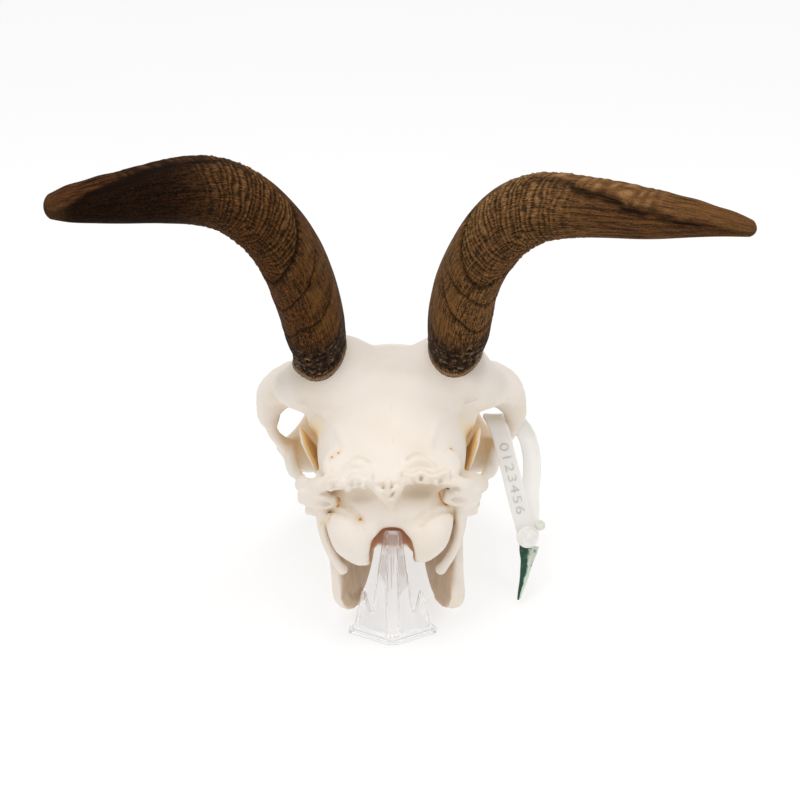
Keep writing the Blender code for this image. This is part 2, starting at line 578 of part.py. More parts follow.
# ---- move the whole to its origin ------------------------------------------------
lo = Vector((1e9,) * 3)
hi = Vector((-1e9,) * 3)
for o in bpy.data.objects:
    for v in o.data.vertices:
        for i in range(3):
            lo[i] = min(lo[i], v.co[i])
            hi[i] = max(hi[i], v.co[i])
shift = Vector((-(lo.x + hi.x) / 2, -(lo.y + hi.y) / 2, -lo.z))
for o in bpy.data.objects:
    o.location = shift
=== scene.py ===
import math

import bmesh
import bpy
import numpy as np
from mathutils import Matrix, Vector

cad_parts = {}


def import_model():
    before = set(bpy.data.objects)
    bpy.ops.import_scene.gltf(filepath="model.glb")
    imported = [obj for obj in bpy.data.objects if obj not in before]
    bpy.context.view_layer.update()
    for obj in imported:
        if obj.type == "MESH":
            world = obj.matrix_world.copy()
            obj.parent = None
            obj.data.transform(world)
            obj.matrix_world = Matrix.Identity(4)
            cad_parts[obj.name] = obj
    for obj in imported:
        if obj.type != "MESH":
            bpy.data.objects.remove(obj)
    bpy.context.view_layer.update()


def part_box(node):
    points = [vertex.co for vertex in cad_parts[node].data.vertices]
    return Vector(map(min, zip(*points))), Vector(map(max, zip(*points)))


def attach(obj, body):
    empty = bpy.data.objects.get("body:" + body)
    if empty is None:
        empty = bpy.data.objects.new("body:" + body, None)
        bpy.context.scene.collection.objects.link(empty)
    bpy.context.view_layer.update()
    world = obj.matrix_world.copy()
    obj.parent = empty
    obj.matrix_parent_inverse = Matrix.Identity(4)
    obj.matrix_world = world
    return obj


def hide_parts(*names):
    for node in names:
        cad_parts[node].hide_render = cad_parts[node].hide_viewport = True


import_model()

# Everything below is drawn in millimetres in the skull's own frame (x to the
# animal's right, y to the nose, z up from the table) and moved to the row frame
# by SHIFT, which is read from where the easel stands.
_lo, _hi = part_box("easel")
SHIFT = np.array([(_lo.x + _hi.x) * 500.0 - 0.4, _lo.y * 1000.0 - 0.3, _lo.z * 1000.0])


def world(p):
    return (np.asarray(p, float) + SHIFT) * 0.001


# ================================================================ curve helpers
def through(rows, per=3):
    """Catmull-Rom rows through the given rows."""
    r = np.array(rows, float)
    e = np.vstack([2 * r[0] - r[1], r, 2 * r[-1] - r[-2]])
    out = []
    for i in range(1, len(e) - 2):
        p0, p1, p2, p3 = e[i - 1], e[i], e[i + 1], e[i + 2]
        for k in range(per):
            t = k / per
            out.append(0.5 * (2 * p1 + (p2 - p0) * t + (2 * p0 - 5 * p1 + 4 * p2 - p3) * t * t
                              + (3 * p1 - p0 - 3 * p2 + p3) * t ** 3))
    out.append(r[-1])
    return np.array(out)


def unit(v):
    return v / np.linalg.norm(v)


def section_frames(pts, side):
    tan = np.gradient(pts, axis=0)
    side = np.array(side, float)
    ts, as_, bs = [], [], []
    for i, t in enumerate(tan):
        t = unit(t)
        s = side if side.ndim == 1 else side[0] + (side[1] - side[0]) * i / (len(pts) - 1)
        rest = s - t * np.dot(s, t)
        if np.linalg.norm(rest) < 1e-3:
            rest = np.array([1.0, 0, 0]) - t * t[0]
        a = unit(rest)
        ts.append(t)
        as_.append(a)
        bs.append(np.cross(t, a))
    return np.array(ts), np.array(as_), np.array(bs)


def turn(axis, deg):
    return np.array(Matrix.Rotation(math.radians(deg), 3, axis))


def step(x, a, b):
    """Smooth 0 to 1 between a and b."""
    t = np.clip((x - a) / (b - a), 0, 1)
    return t * t * (3 - 2 * t)


# ================================================================ solid fields
def smin(a, b, k):
    h = np.maximum(k - np.abs(a - b), 0.0) / k
    return np.minimum(a, b) - h * h * (k * 0.25)


class Field:
    """Distance samples on a grid; bodies are blended into it and cut out of it."""

    def __init__(self, lo, hi, h):
        self.h = h
        self.lo = np.floor(np.array(lo, float) / (3 * h)) * 3 * h
        self.n = ((np.array(hi, float) - self.lo) / h).astype(int) + 2
        self.v = np.full(self.n, 30.0, np.float32)
        self.ax = [(self.lo[i] + h * np.arange(self.n[i])).astype(np.float32) for i in range(3)]

    def window(self, lo, hi):
        a = np.clip(np.floor((np.array(lo) - self.lo) / self.h).astype(int), 0, self.n - 1)
        b = np.clip(np.ceil((np.array(hi) - self.lo) / self.h).astype(int) + 1, 1, self.n)
        if np.any(b <= a):
            return None
        sl = tuple(slice(int(a[i]), int(b[i])) for i in range(3))
        return sl, (self.ax[0][sl[0]][:, None, None], self.ax[1][sl[1]][None, :, None],
                    self.ax[2][sl[2]][None, None, :])

    def mix(self, sl, d, k, cut):
        a = self.v[sl]
        if cut:
            self.v[sl] = -smin(-a, d, k)
        else:
            self.v[sl] = smin(a, d, k)

    def ball(self, c, r, pitch=0.0, yaw=0.0, roll=0.0, twin=False, k=3.0, cut=False):
        for sx in ((1, -1) if twin else (1,)):
            cc = np.array([c[0] * sx, c[1], c[2]], float)
            rot = turn('Z', -yaw * sx) @ turn('X', pitch) @ turn('Y', roll * sx)
            rr = np.array(r, float)
            ext = np.sqrt(((rot * rr) ** 2).sum(1)) + k + 1.5 * self.h
            w = self.window(cc - ext, cc + ext)
            if w is None:
                continue
            sl, (x, y, z) = w
            dx, dy, dz = x - np.float32(cc[0]), y - np.float32(cc[1]), z - np.float32(cc[2])
            s0 = s1 = 0.0
            for i in range(3):
                q = np.float32(rot[0, i]) * dx + np.float32(rot[1, i]) * dy + np.float32(rot[2, i]) * dz
                q = q / np.float32(rr[i])
                s0 = s0 + q * q
                q = q / np.float32(rr[i])
                s1 = s1 + q * q
            k0, k1 = np.sqrt(s0), np.sqrt(s1)
            m = np.float32(rr.min())
            self.mix(sl, (k0 - 1) * (k0 + 1e-5) / (k1 + 1e-5 / m), k, cut)

    def loft(self, rows, side=(1, 0, 0), per=3, p=2.0, cap=1.0, k=3.0, twin=False, mirror=False,
             cut=False):
        if twin:
            self.loft(rows, side, per, p, cap, k, False, False, cut)
            mirror = True
        r = through(rows, per)
        pts, ra, rb = r[:, :3].copy(), r[:, 3], r[:, 4]
        _, fa, fb = section_frames(pts, side)
        if mirror:
            flip = np.array([-1.0, 1, 1])
            pts, fa, fb = pts * flip, fa * flip, fb * flip
        big = np.maximum(ra, rb) + k + 1.5 * self.h
        w = self.window((pts - big[:, None]).min(0), (pts + big[:, None]).max(0))
        if w is None:
            return
        sl, _ = w
        tmp = np.full(self.v[sl].shape, 30.0, np.float32)
        off = [s.start for s in sl]
        last = len(pts) - 2
        for i in range(last + 1):
            a, b = pts[i], pts[i + 1]
            m = max(big[i], big[i + 1])
            ww = self.window(np.minimum(a, b) - m, np.maximum(a, b) + m)
            if ww is None:
                continue
            s2 = tuple(slice(max(q.start, g.start), min(q.stop, g.stop)) for q, g in zip(ww[0], sl))
            if any(q.stop <= q.start for q in s2):
                continue
            x = self.ax[0][s2[0]][:, None, None]
            y = self.ax[1][s2[1]][None, :, None]
            z = self.ax[2][s2[2]][None, None, :]
            length = float(np.linalg.norm(b - a))
            if length < 1e-6:
                continue
            d = (b - a) / length
            wx, wy, wz = x - np.float32(a[0]), y - np.float32(a[1]), z - np.float32(a[2])

            def dot(v):
                return np.float32(v[0]) * wx + np.float32(v[1]) * wy + np.float32(v[2]) * wz

            s = dot(d)
            t = np.clip(s / np.float32(length), 0, 1)
            over = s - t * np.float32(length)

            def along(v0, v1):
                c0, c1 = np.float32(np.dot(b - a, v0)), np.float32(np.dot(b - a, v1))
                return (1 - t) * (dot(v0) - t * c0) + t * (dot(v1) - t * c1)

            ha = np.float32(ra[i]) + t * np.float32(ra[i + 1] - ra[i])
            hb = np.float32(rb[i]) + t * np.float32(rb[i + 1] - rb[i])
            u = np.abs(along(fa[i], fa[i + 1])) / ha
            v = np.abs(along(fb[i], fb[i + 1])) / hb
            small = np.minimum(ha, hb)
            m0 = small * (cap if i == 0 else 0.35)
            m1 = small * (cap if i == last else 0.35)
            e = np.where(over < 0, over / m0, over / m1)
            me = np.where(over < 0, m0, m1)
            if p == 2.0:
                s0 = u * u + v * v + e * e
                s1 = (u / ha) ** 2 + (v / hb) ** 2 + (e / me) ** 2
                k0, k1 = np.sqrt(s0), np.sqrt(s1)
                dist = (k0 - 1) * (k0 + 1e-5) / (k1 + 1e-5 / small)
            else:
                g = u ** p + v ** p
                kk = g ** (1 / p)
                k0 = np.sqrt(kk * kk + e * e)
                gu = (u / (kk + 1e-6)) ** (p - 1) / ha
                gv = (v / (kk + 1e-6)) ** (p - 1) / hb
                slope = np.sqrt((gu * gu + gv * gv) * (kk / (k0 + 1e-6)) ** 2
                                + (e / me / (k0 + 1e-6)) ** 2)
                dist = (k0 - 1) / np.maximum(slope, 0.6 / np.maximum(ha, hb))
            local = tuple(slice(s2[j].start - off[j], s2[j].stop - off[j]) for j in range(3))
            tmp[local] = np.minimum(tmp[local], dist.astype(np.float32))
        self.mix(sl, tmp, k, cut)

    def line(self, pts, r, k=1.0, per=2, cut=False, flat=None, side=(0, 0, 1), twin=False):
        """Thin rounded bead or groove along points; r is one radius or one per point."""
        rs = [r] * len(pts) if np.isscalar(r) else r
        self.loft([(*q, a, a if flat is None else a * flat) for q, a in zip(pts, rs)], side=side,
                  per=per, k=k, cut=cut, twin=twin)

    def slab(self, axis, at, keep_above=True):
        """Cut flat by a plane across one axis."""
        shape = [1, 1, 1]
        shape[axis] = -1
        d = (at - self.ax[axis]).reshape(shape)
        if not keep_above:
            d = -d
        self.v = np.maximum(self.v, d.astype(np.float32))

    def at(self, p):
        """Trilinear value at points."""
        return sample(self.v, self.lo, self.h, p)

    def mesh(self):
        return net(self.v, self.lo, self.h)


def sample(v, lo, h, p):
    q = (np.asarray(p, float) - lo) / h
    n = np.array(v.shape)
    q = np.clip(q, 0, n - 1.001)
    i = q.astype(int)
    f = (q - i).astype(np.float32)
    out = 0.0
    for dx in (0, 1):
        for dy in (0, 1):
            for dz in (0, 1):
                wt = ((f[..., 0] if dx else 1 - f[..., 0]) * (f[..., 1] if dy else 1 - f[..., 1])
                      * (f[..., 2] if dz else 1 - f[..., 2]))
                out = out + wt * v[i[..., 0] + dx, i[..., 1] + dy, i[..., 2] + dz]
    return out


CORNERS = [(0, 0, 0), (1, 0, 0), (0, 1, 0), (1, 1, 0), (0, 0, 1), (1, 0, 1), (0, 1, 1), (1, 1, 1)]
EDGES = [(a, b) for a in range(8) for b in range(a + 1, 8)
         if sum(abs(CORNERS[a][i] - CORNERS[b][i]) for i in range(3)) == 1]


def net(v, lo, h):
    """Surface nets: vertices inside mixed cells, quads across sign changes."""
    s = v < 0
    cnt = np.zeros(np.array(v.shape) - 1, np.uint8)
    for dx, dy, dz in CORNERS:
        cnt += s[dx:s.shape[0] - 1 + dx, dy:s.shape[1] - 1 + dy, dz:s.shape[2] - 1 + dz]
    act = (cnt > 0) & (cnt < 8)
    cells = np.argwhere(act)
    idx = np.full(act.shape, -1, np.int64)
    idx[act] = np.arange(len(cells))
    val = np.stack([v[cells[:, 0] + c[0], cells[:, 1] + c[1], cells[:, 2] + c[2]] for c in CORNERS], 1)
    pos = np.zeros((len(cells), 3))
    num = np.zeros(len(cells))
    for a, b in EDGES:
        va, vb = val[:, a], val[:, b]
        m = (va < 0) != (vb < 0)
        t = np.where(m, va / np.where(m, va - vb, 1), 0)
        ca, cb = np.array(CORNERS[a], float), np.array(CORNERS[b], float)
        pos += np.where(m[:, None], ca + t[:, None] * (cb - ca), 0)
        num += m
    pos = (pos / num[:, None] + cells) * h + lo
    quads = []
    for axis in range(3):
        o1, o2 = [i for i in range(3) if i != axis]
        n = v.shape
        sl0 = [slice(1, n[0] - 1)] * 3
        sl0 = [slice(1, n[i] - 1) for i in range(3)]
        sl1 = list(sl0)
        sl0[axis] = slice(0, n[axis] - 1)
        sl1[axis] = slice(1, n[axis])
        a, b = s[tuple(sl0)], s[tuple(sl1)]
        for flip, mask in ((False, a & ~b), (True, ~a & b)):
            at = np.argwhere(mask)
            if not len(at):
                continue
            at = at + [0 if i == axis else 1 for i in range(3)]
            ring = []
            for du, dv in ((0, 0), (-1, 0), (-1, -1), (0, -1)):
                q = at.copy()
                q[:, o1] += du
                q[:, o2] += dv
                ring.append(idx[q[:, 0], q[:, 1], q[:, 2]])
            ring = np.stack(ring, 1)
            if (axis == 1) != flip:
                ring = ring[:, ::-1]
            quads.append(ring)
    return pos, np.concatenate(quads)


def main_body(pos, faces):
    """Keep the largest connected body."""
    lab = np.arange(len(pos))
    e = np.concatenate([faces[:, [0, 1]], faces[:, [1, 2]], faces[:, [2, 3]], faces[:, [3, 0]]])
    while True:
        low = lab.copy()
        np.minimum.at(low, e[:, 0], lab[e[:, 1]])
        np.minimum.at(low, e[:, 1], lab[e[:, 0]])
        low = low[low]
        low = low[low]
        if np.array_equal(low, lab):
            break
        lab = low
    ids, counts = np.unique(lab, return_counts=True)
    keep = lab == ids[counts.argmax()]
    new = np.cumsum(keep) - 1
    return pos[keep], new[faces[keep[faces[:, 0]]]]


# ================================================================ mesh helpers
def make(name, pos, faces, smooth=True):
    me = bpy.data.meshes.new(name)
    faces = np.asarray(faces)
    n, w = faces.shape
    me.vertices.add(len(pos))
    me.vertices.foreach_set("co", world(pos).astype(np.float32).ravel())
    me.loops.add(n * w)
    me.loops.foreach_set("vertex_index", faces.astype(np.int32).ravel())
    me.polygons.add(n)
    me.polygons.foreach_set("loop_start", (np.arange(n) * w).astype(np.int32))
    me.polygons.foreach_set("loop_total", np.full(n, w, np.int32))
    me.update(calc_edges=True)
    me.validate()
    ob = bpy.data.objects.new(name, me)
    bpy.context.scene.collection.objects.link(ob)
    if smooth:
        me.shade_smooth()
    return ob


def bake(ob):
    dep = bpy.context.evaluated_depsgraph_get()
    me = bpy.data.meshes.new_from_object(ob.evaluated_get(dep))
    old = ob.data
    ob.modifiers.clear()
    ob.data = me
    bpy.data.meshes.remove(old)
    me.shade_smooth()
    return ob


def soften(ob, n, factor=0.5):
    m = ob.modifiers.new("soften", 'SMOOTH')
    m.factor = factor
    m.iterations = n
    return bake(ob)


def thin_out(ob, tris):
    now = sum(len(p.vertices) - 2 for p in ob.data.polygons)
    if now <= tris:
        return ob
    m = ob.modifiers.new("thin", 'DECIMATE')
    m.ratio = tris / now
    return bake(ob)


def coords(ob):
    me = ob.data
    co = np.empty(len(me.vertices) * 3, np.float32)
    me.vertices.foreach_get("co", co)
    no = np.empty(len(me.vertices) * 3, np.float32)
    me.vertices.foreach_get("normal", no)
    return co.reshape(-1, 3) * 1000.0 - SHIFT, no.reshape(-1, 3)


def put(ob, pos):
    ob.data.vertices.foreach_set("co", world(pos).astype(np.float32).ravel())
    ob.data.update()


def attr(ob, name, values):
    a = ob.data.attributes.get(name) or ob.data.attributes.new(name, 'FLOAT', 'POINT')
    a.data.foreach_set("value", np.asarray(values, np.float32))


def to_line(p, pts):
    """Distance from points to a polyline."""
    best = np.full(len(p), 1e9)
    pts = np.asarray(pts, float)
    for a, b in zip(pts, pts[1:]):
        d = b - a
        t = np.clip(((p - a) @ d) / max(float(d @ d), 1e-9), 0, 1)
        best = np.minimum(best, np.linalg.norm(p - a - t[:, None] * d, axis=1))
    return best


def ripple(p, seed, scale, octaves=3):
    """Cheap smooth noise, -1 to 1, from sines at fixed seeded directions."""
    rng = np.random.RandomState(seed)
    out = np.zeros(len(p))
    amp, total = 1.0, 0.0
    for o in range(octaves):
        for _ in range(5):
            w = rng.normal(size=3) * (2 * math.pi / (scale / 1.9 ** o)) * 0.6
            out += amp * np.sin(p @ w + rng.uniform(0, 6.28))
            total += amp
        amp *= 0.55
    return out / total * 1.8


# ================================================================ cranium
def bite(y):
    return 41.0 + (33.0 - 41.0) * (y - 89.0) / (160.0 - 89.0)


def cheek_teeth(f, rows, top, down, outer, k=0.7):
    """Row of separate two-lobed crowns: rows of x, y, half width, half length."""
    for x, y, hw, hl in rows:
        z = bite(y)
        a, b = z + top * 0.35, z + top * 13.0
        for lobe in (-0.5, 0.5):
            yy = y + lobe * hl
            f.loft([(x, yy, a, hw * 0.92, hl * 0.50), (x, yy, (a + b) / 2, hw, hl * 0.54),
                    (x, yy, b, hw * 0.9, hl * 0.5)], side=(1, 0, 0), p=3.0, cap=0.15, k=0.5, per=2)
        for st in (-0.98, 0.0, 0.98):
            xx = x + outer * hw * 0.92
            f.line([(xx, y + st * hl, a), (xx + outer * 0.15, y + st * hl, (a + b) / 2),
                    (xx, y + st * hl, b)], 0.75, k=0.7)


NUCHAL = [
    [(-27.6, 7.2, 71.3), (-26.4, 6.0, 72.9), (-24.4, 5.4, 74.2), (-21.7, 4.3, 74.6),
     (-20.2, 4.2, 73.4), (-18.6, 3.9, 73.6), (-16.6, 3.6, 76.1), (-15.2, 3.9, 76.9),
     (-13.6, 3.3, 76.2), (-12.1, 2.9, 75.3), (-10.4, 2.9, 75.5), (-8.7, 3.4, 77.0)],
    [(5.7, 4.6, 77.5), (7.6, 3.7, 77.0), (9.4, 3.6, 76.9), (11.2, 4.4, 77.6), (12.4, 5.0, 78.4),
     (14.4, 4.0, 77.2), (16.6, 3.9, 76.5), (18.6, 4.2, 76.5), (20.6, 5.5, 76.9),
     (23.0, 7.2, 77.1)]]
SUTURES = [
    [(-1.7, 73.6, 107.1), (-1.2, 51.4, 102.8), (-0.2, 33.5, 96.3), (0.6, 19.3, 88.6),
     (-0.2, 9, 79.4)],
    [(-25.8, 24.1, 80.9), (-26.1, 17.8, 79.1), (-24.7, 12.1, 76.6)],
    [(26.3, 28.9, 81.1), (22.8, 22.9, 82.4), (21, 17.8, 80.9), (21.3, 13.1, 78.4)],
    [(-0.6, 2.6, 68.5), (-0.6, 2.2, 61.7), (0.2, 5.1, 54.2)]]
CRACKS = [
    [(-24.2, 12.4, 65.9), (-22, 11.9, 64.5), (-22.3, 10.6, 62.4), (-24.2, 9, 61),
     (-26.1, 8.2, 58.7), (-27.1, 6.9, 56.4), (-30.2, 11.3, 52.9)],
    [(22.6, 6.4, 71.7), (20.3, 11.1, 67.9), (20.8, 11.4, 64.8), (22.8, 11, 62.5), (24, 11.1, 62.2),
     (26, 10.5, 61.4)]]
PITS = [(-22.7, 20.9, 81.9, 0.45), (-25.3, 19.7, 80.6, 0.35), (25.4, 25.5, 81.6, 0.45),
        (-13.2, 6, 57.9, 0.55)]


def cranium_field(h):
    f = Field((-66, -6, 22), (66, 222, 114), h)
    half, o = 32.5, 59.5
    # braincase, frontal dome, forehead and the narrow wall between the orbits
    f.ball((0, 46, 73.5), (half, 46, 26), pitch=20, k=2.0)
    f.ball((0, 63, 82), (37.5, 27, 22), k=2.0)
    f.ball((0, 70, 92), (43, 30, 13.6), pitch=4, k=2.0)
    f.ball((22.5, 77, 96.6), (17, 22, 15.0), twin=True, k=5)
    f.ball((30, 74, 102.0), (11.5, 17, 10), roll=-6, twin=True, k=6)
    f.ball((31.0, 62, 98), (12.5, 14, 11), k=6)
    f.ball((-33, 62, 95.5), (12.5, 14, 10), k=6)
    f.ball((43.5, 73, 90.8), (9.5, 15, 7.2), twin=True, k=7)
    f.loft([(0, 60, 90, 33, 15), (0, 80, 93.4, 40, 12.0), (0, 95, 88.4, 41, 11.2),
            (0, 108, 83.4, 37, 11), (0, 122, 77.4, 31, 11)], p=2.3, k=2.0)
    f.ball((29.5, 73, 95), (15, 20, 10.5), yaw=14, twin=True, k=5)
    f.loft([(0, 50, 74, 30, 23), (0, 72, 75, 23, 23), (0, 92, 73, 19, 23), (0, 112, 69, 20, 22),
            (0, 128, 68, 27, 20)], p=2.2, k=2.0)
    # face from the front of the orbits to the muzzle, nasals on top
    f.loft([(0, 120, 66.5, 36, 22), (0, 129, 64.5, 35, 21.5), (0, 141, 61, 31, 20.3),
            (0, 155, 57.5, 25.5, 17.8), (0, 170, 53.6, 19.8, 14.6), (0, 182, 51, 16, 11.5)],
           p=2.4, k=2.0)
    f.loft([(0, 106, 90, 14, 5), (0, 130, 80.5, 12, 5), (0, 155, 71, 10.5, 4.6),
            (0, 178, 63.0, 8.6, 3.6), (0, 190, 59.6, 5.0, 2.2)], k=1.8)
    # postorbital process and bar
    f.loft([(30, 82, 90, 14, 8.5), (40, 84.5, 88.2, 12.2, 5.4), (48, 87, 86.6, 11.2, 4.5),
            (o - 5.6, 89.5, 83.5, 9.4, 4.0), (o - 3.6, 91.5, 76, 6.6, 3.7),
            (o - 3.7, 92.5, 68, 5.4, 3.6), (o - 5.6, 94.5, 60, 5.4, 3.6), (50.2, 98, 53, 6.4, 3.6)],
           side=((0, 0.78, 0.62), (0, 1, 0)), twin=True, k=4)
    f.ball((40, 90, 87), (11, 13, 5.0), twin=True, k=4)
    f.loft([(28, 79, 86.0, 7.0, 5.5), (36, 82.0, 85.0, 6.8, 5.0), (44, 85.0, 83.8, 6.8, 4.8),
            (50, 87.4, 81.4, 7.0, 4.6), (54.5, 89.2, 76.6, 6.8, 4.4), (56.2, 91.0, 70.0, 5.6, 4.2)],
           side=(0, 0.25, 1), twin=True, k=5)
    f.loft([(-52, 84, 86, 6.5, 5.0), (-56.4, 88, 82, 6.8, 4.4), (-57.6, 90.5, 75, 6.4, 3.6),
            (-56.8, 92, 68, 5.6, 3.4)], side=(0, 1, 0), k=2.5)
    f.ball((33, 74, 90.5), (14, 17, 8.0), twin=True, k=5)
    f.loft([(45, 94, 89.3, 4.6, 4.0), (43.8, 104.5, 85.8, 4.6, 3.8), (41, 114.5, 81.5, 4.8, 4.0),
            (37, 124, 76, 5.0, 4.6), (35, 127, 67, 5.0, 4.8), (35.2, 126.5, 56.5, 5.0, 4.8),
            (41, 118.5, 47.6, 5.4, 4.0), (46.2, 108, 45.8, 5.8, 3.4), (48.0, 99, 47.8, 6.0, 3.4)],
           side=(0.9, 0.35, 0.25), twin=True, k=2.5)
    f.ball((31, 129, 63), (9.5, 11, 18), twin=True, k=2.0)
    # cheek: jugal, floor of the orbit, tuber with the molars
    f.ball((39, 117, 45), (9, 18, 6.4), twin=True, yaw=-16, k=1.8)
    f.ball((38, 109, 45), (14, 17, 4.8), twin=True, k=1.8)
    f.ball((38.5, 98, 45.5), (9, 14, 5.6), twin=True, k=1.8)
    f.loft([(46.0, 104, 46.0, 7.0, 3.6), (46.6, 94, 46.2, 7.2, 3.2), (45.6, 85, 47.0, 6.2, 2.8),
            (44.2, 74, 49.6, 4.0, 2.4), (42.2, 62, 52.6, 2.8, 2.1), (39.6, 50, 55.4, 2.5, 2.0),
            (36.6, 38, 58.6, 2.9, 2.5), (33, 29, 61.6, 4.2, 4.2)], side=(0, 0, 1), twin=True, k=3.2)
    f.ball((25, 106, 49.5), (9.5, 27, 8.0), twin=True, k=1.8)
    f.ball((24, 130, 47.5), (9, 34, 8.5), twin=True, yaw=-8, k=1.8)
    # temporal base: squamosal shelf over the jaw joint, ear, mastoid, bulla
    f.ball((32, 31, 62.5), (10, 9, 4.6), twin=True, k=2)
    f.loft([(22, 22, 57, 6, 6), (31, 21, 57.5, 5, 5.4), (36, 20.5, 58, 4.2, 4.6)],
           side=(0, 1, 0), twin=True, cap=0.3, k=1.5)
    f.ball((30, 17, 64.5), (7.6, 6.0, 6.6), twin=True, k=2)
    f.ball((15.5, 33, 46.5), (6, 10.5, 7.5), twin=True, k=1.5)
    # nuchal plate, the roof behind the parietals, crest and ridge down to the mastoid
    f.ball((0, 20, 62), (30, 12, 18), k=1.8)
    f.ball((0, 20, 76.5), (29.5, 19, 7.5), pitch=24, k=1.8)
    f.loft([(-34, 18, 67, 3.5, 3), (-29, 11, 71.5, 4, 3), (-19, 7.5, 75.2, 4.4, 2.9),
            (-8, 7, 76.4, 4.4, 2.7), (0, 8.5, 75.6, 4.4, 2.7), (8, 7, 76.4, 4.4, 2.7),
            (19, 7.5, 75.2, 4.4, 2.9), (29, 11, 71.5, 4, 3), (34, 18, 67, 3.5, 3)],
           side=(0, 1, 0.35), k=2)
    # the plate below the crest is hollowed on both sides
    f.loft([(-29.5, 6.5, 67.4, 4.5, 2.4), (-23, 4.0, 68.4, 6.4, 3.4), (-15, 2.0, 69.4, 7.0, 4.0),
            (-9.6, 1.0, 70.6, 5.6, 4.0)], side=(0, 1, -0.2), p=3.4, k=1.0, cut=True)
    f.loft([(27.6, 6.0, 70.4, 4.2, 2.2), (21, 3.6, 71.2, 6.4, 3.4), (14, 2.0, 71.6, 7.0, 4.0),
            (7.4, 1.0, 72.6, 5.6, 3.8)], side=(0, 1, -0.2), p=3.4, k=1.0, cut=True)
    f.ball((-13.5, -0.6, 65.0), (12.0, 5.6, 6.0), roll=18, k=3, cut=True)
    f.ball((-6.6, -1.0, 66.0), (5.6, 4.6, 5.0), roll=40, k=2, cut=True)
    f.ball((12.5, -0.6, 67.0), (11.5, 5.6, 6.0), roll=-18, k=3, cut=True)
    f.ball((4.6, -1.0, 68.4), (3.4, 4.4, 5.0), roll=-24, k=2, cut=True)
    # overhanging scalloped lip
    for lip in NUCHAL:
        rs = [1.5, 1.7, 1.8, 1.9, 1.6, 1.9, 1.5, 1.4, 1.9, 2.0, 1.9, 1.6][:len(lip)]
        f.loft([(x, y + 2.0, z + 1.2, 3.2, r * 0.9) for (x, y, z), r in zip(lip, rs)],
               side=(0, 1, -0.4), k=1.0, per=2)
        for (x, y, z), r in zip(lip[1::2], rs[1::2]):
            f.ball((x, y - 0.2, z - 0.2), (r * 0.85, 1.5, 1.5), k=0.6)
            f.ball((x + 0.9, y + 1.2, z - 1.3), (1.0, 1.6, 1.3), k=0.5)
        for x, y, z in lip[::2]:
            f.ball((x, y - 0.9, z - 0.9), (0.85, 1.5, 1.2), k=0.5, cut=True)
    # low swellings above the crest
    f.line([(-18, 13.3, 78.6), (-16.2, 13.0, 79.9), (-13.4, 12.6, 80.5), (-10.2, 11.0, 79.8)],
           [1.6, 2.2, 2.3, 1.6], k=2.0)
    f.line([(6.6, 10.8, 80.3), (9.5, 12.6, 81.3), (13, 13.8, 81.3), (17, 13.2, 79.6)],
           [1.6, 2.2, 2.3, 1.6], k=2.0)
    f.line([(-17.8, 15.2, 80.4), (-15.2, 15.6, 81.7), (-12, 14.2, 81.7), (-9.2, 11.8, 81.0)], 0.4,
           k=1.4, cut=True)
    f.line([(6.6, 13.0, 82.0), (9.6, 15.0, 83.2), (13.4, 16.2, 83.0), (17.4, 15.0, 81.2)], 0.4,
           k=1.4, cut=True)
    # the wedge of bone in the middle with its two raised seams
    f.ball((-1.6, 1.0, 73.2), (5.0, 3.0, 3.6), k=2, cut=True)
    for seam in ([(-8.4, 3.4, 75.4), (-6.8, 2.9, 73.2), (-4.8, 2.6, 70.6), (-2.4, 2.1, 67.8),
                  (-0.4, 2.0, 65.4)],
                 [(5.4, 4.0, 77.0), (4.2, 3.1, 74.2), (2.9, 2.5, 71.6), (1.2, 2.1, 68.4),
                  (-0.2, 2.0, 65.4)]):
        f.line(seam, [1.5, 1.3, 1.3, 1.2, 1.0], k=1.2)
        f.line([(x, y - 1.3, z) for x, y, z in seam], 0.32, k=0.4, cut=True)
    f.line([(-1.6, 3.2, 76.4), (-1.6, 2.5, 73.4), (-1.6, 2.1, 70.8)], [1.7, 1.1, 1.0], k=1.0)
    f.line([(-6.0, 3.4, 74.0), (-3.8, 2.8, 72.6), (-1.6, 2.3, 71.6), (0.4, 2.8, 72.8),
            (3.0, 3.6, 75.0)], [0.7, 0.8, 0.9, 0.8, 0.7], k=0.8)
    f.ball((-4.5, 2.1, 75.1), (1.7, 1.8, 1.0), k=0.6, cut=True)
    f.ball((1.9, 2.4, 75.6), (1.6, 1.8, 1.0), k=0.6, cut=True)
    f.ball((-0.8, 1.2, 68.7), (0.9, 0.8, 1.3), k=0.8)
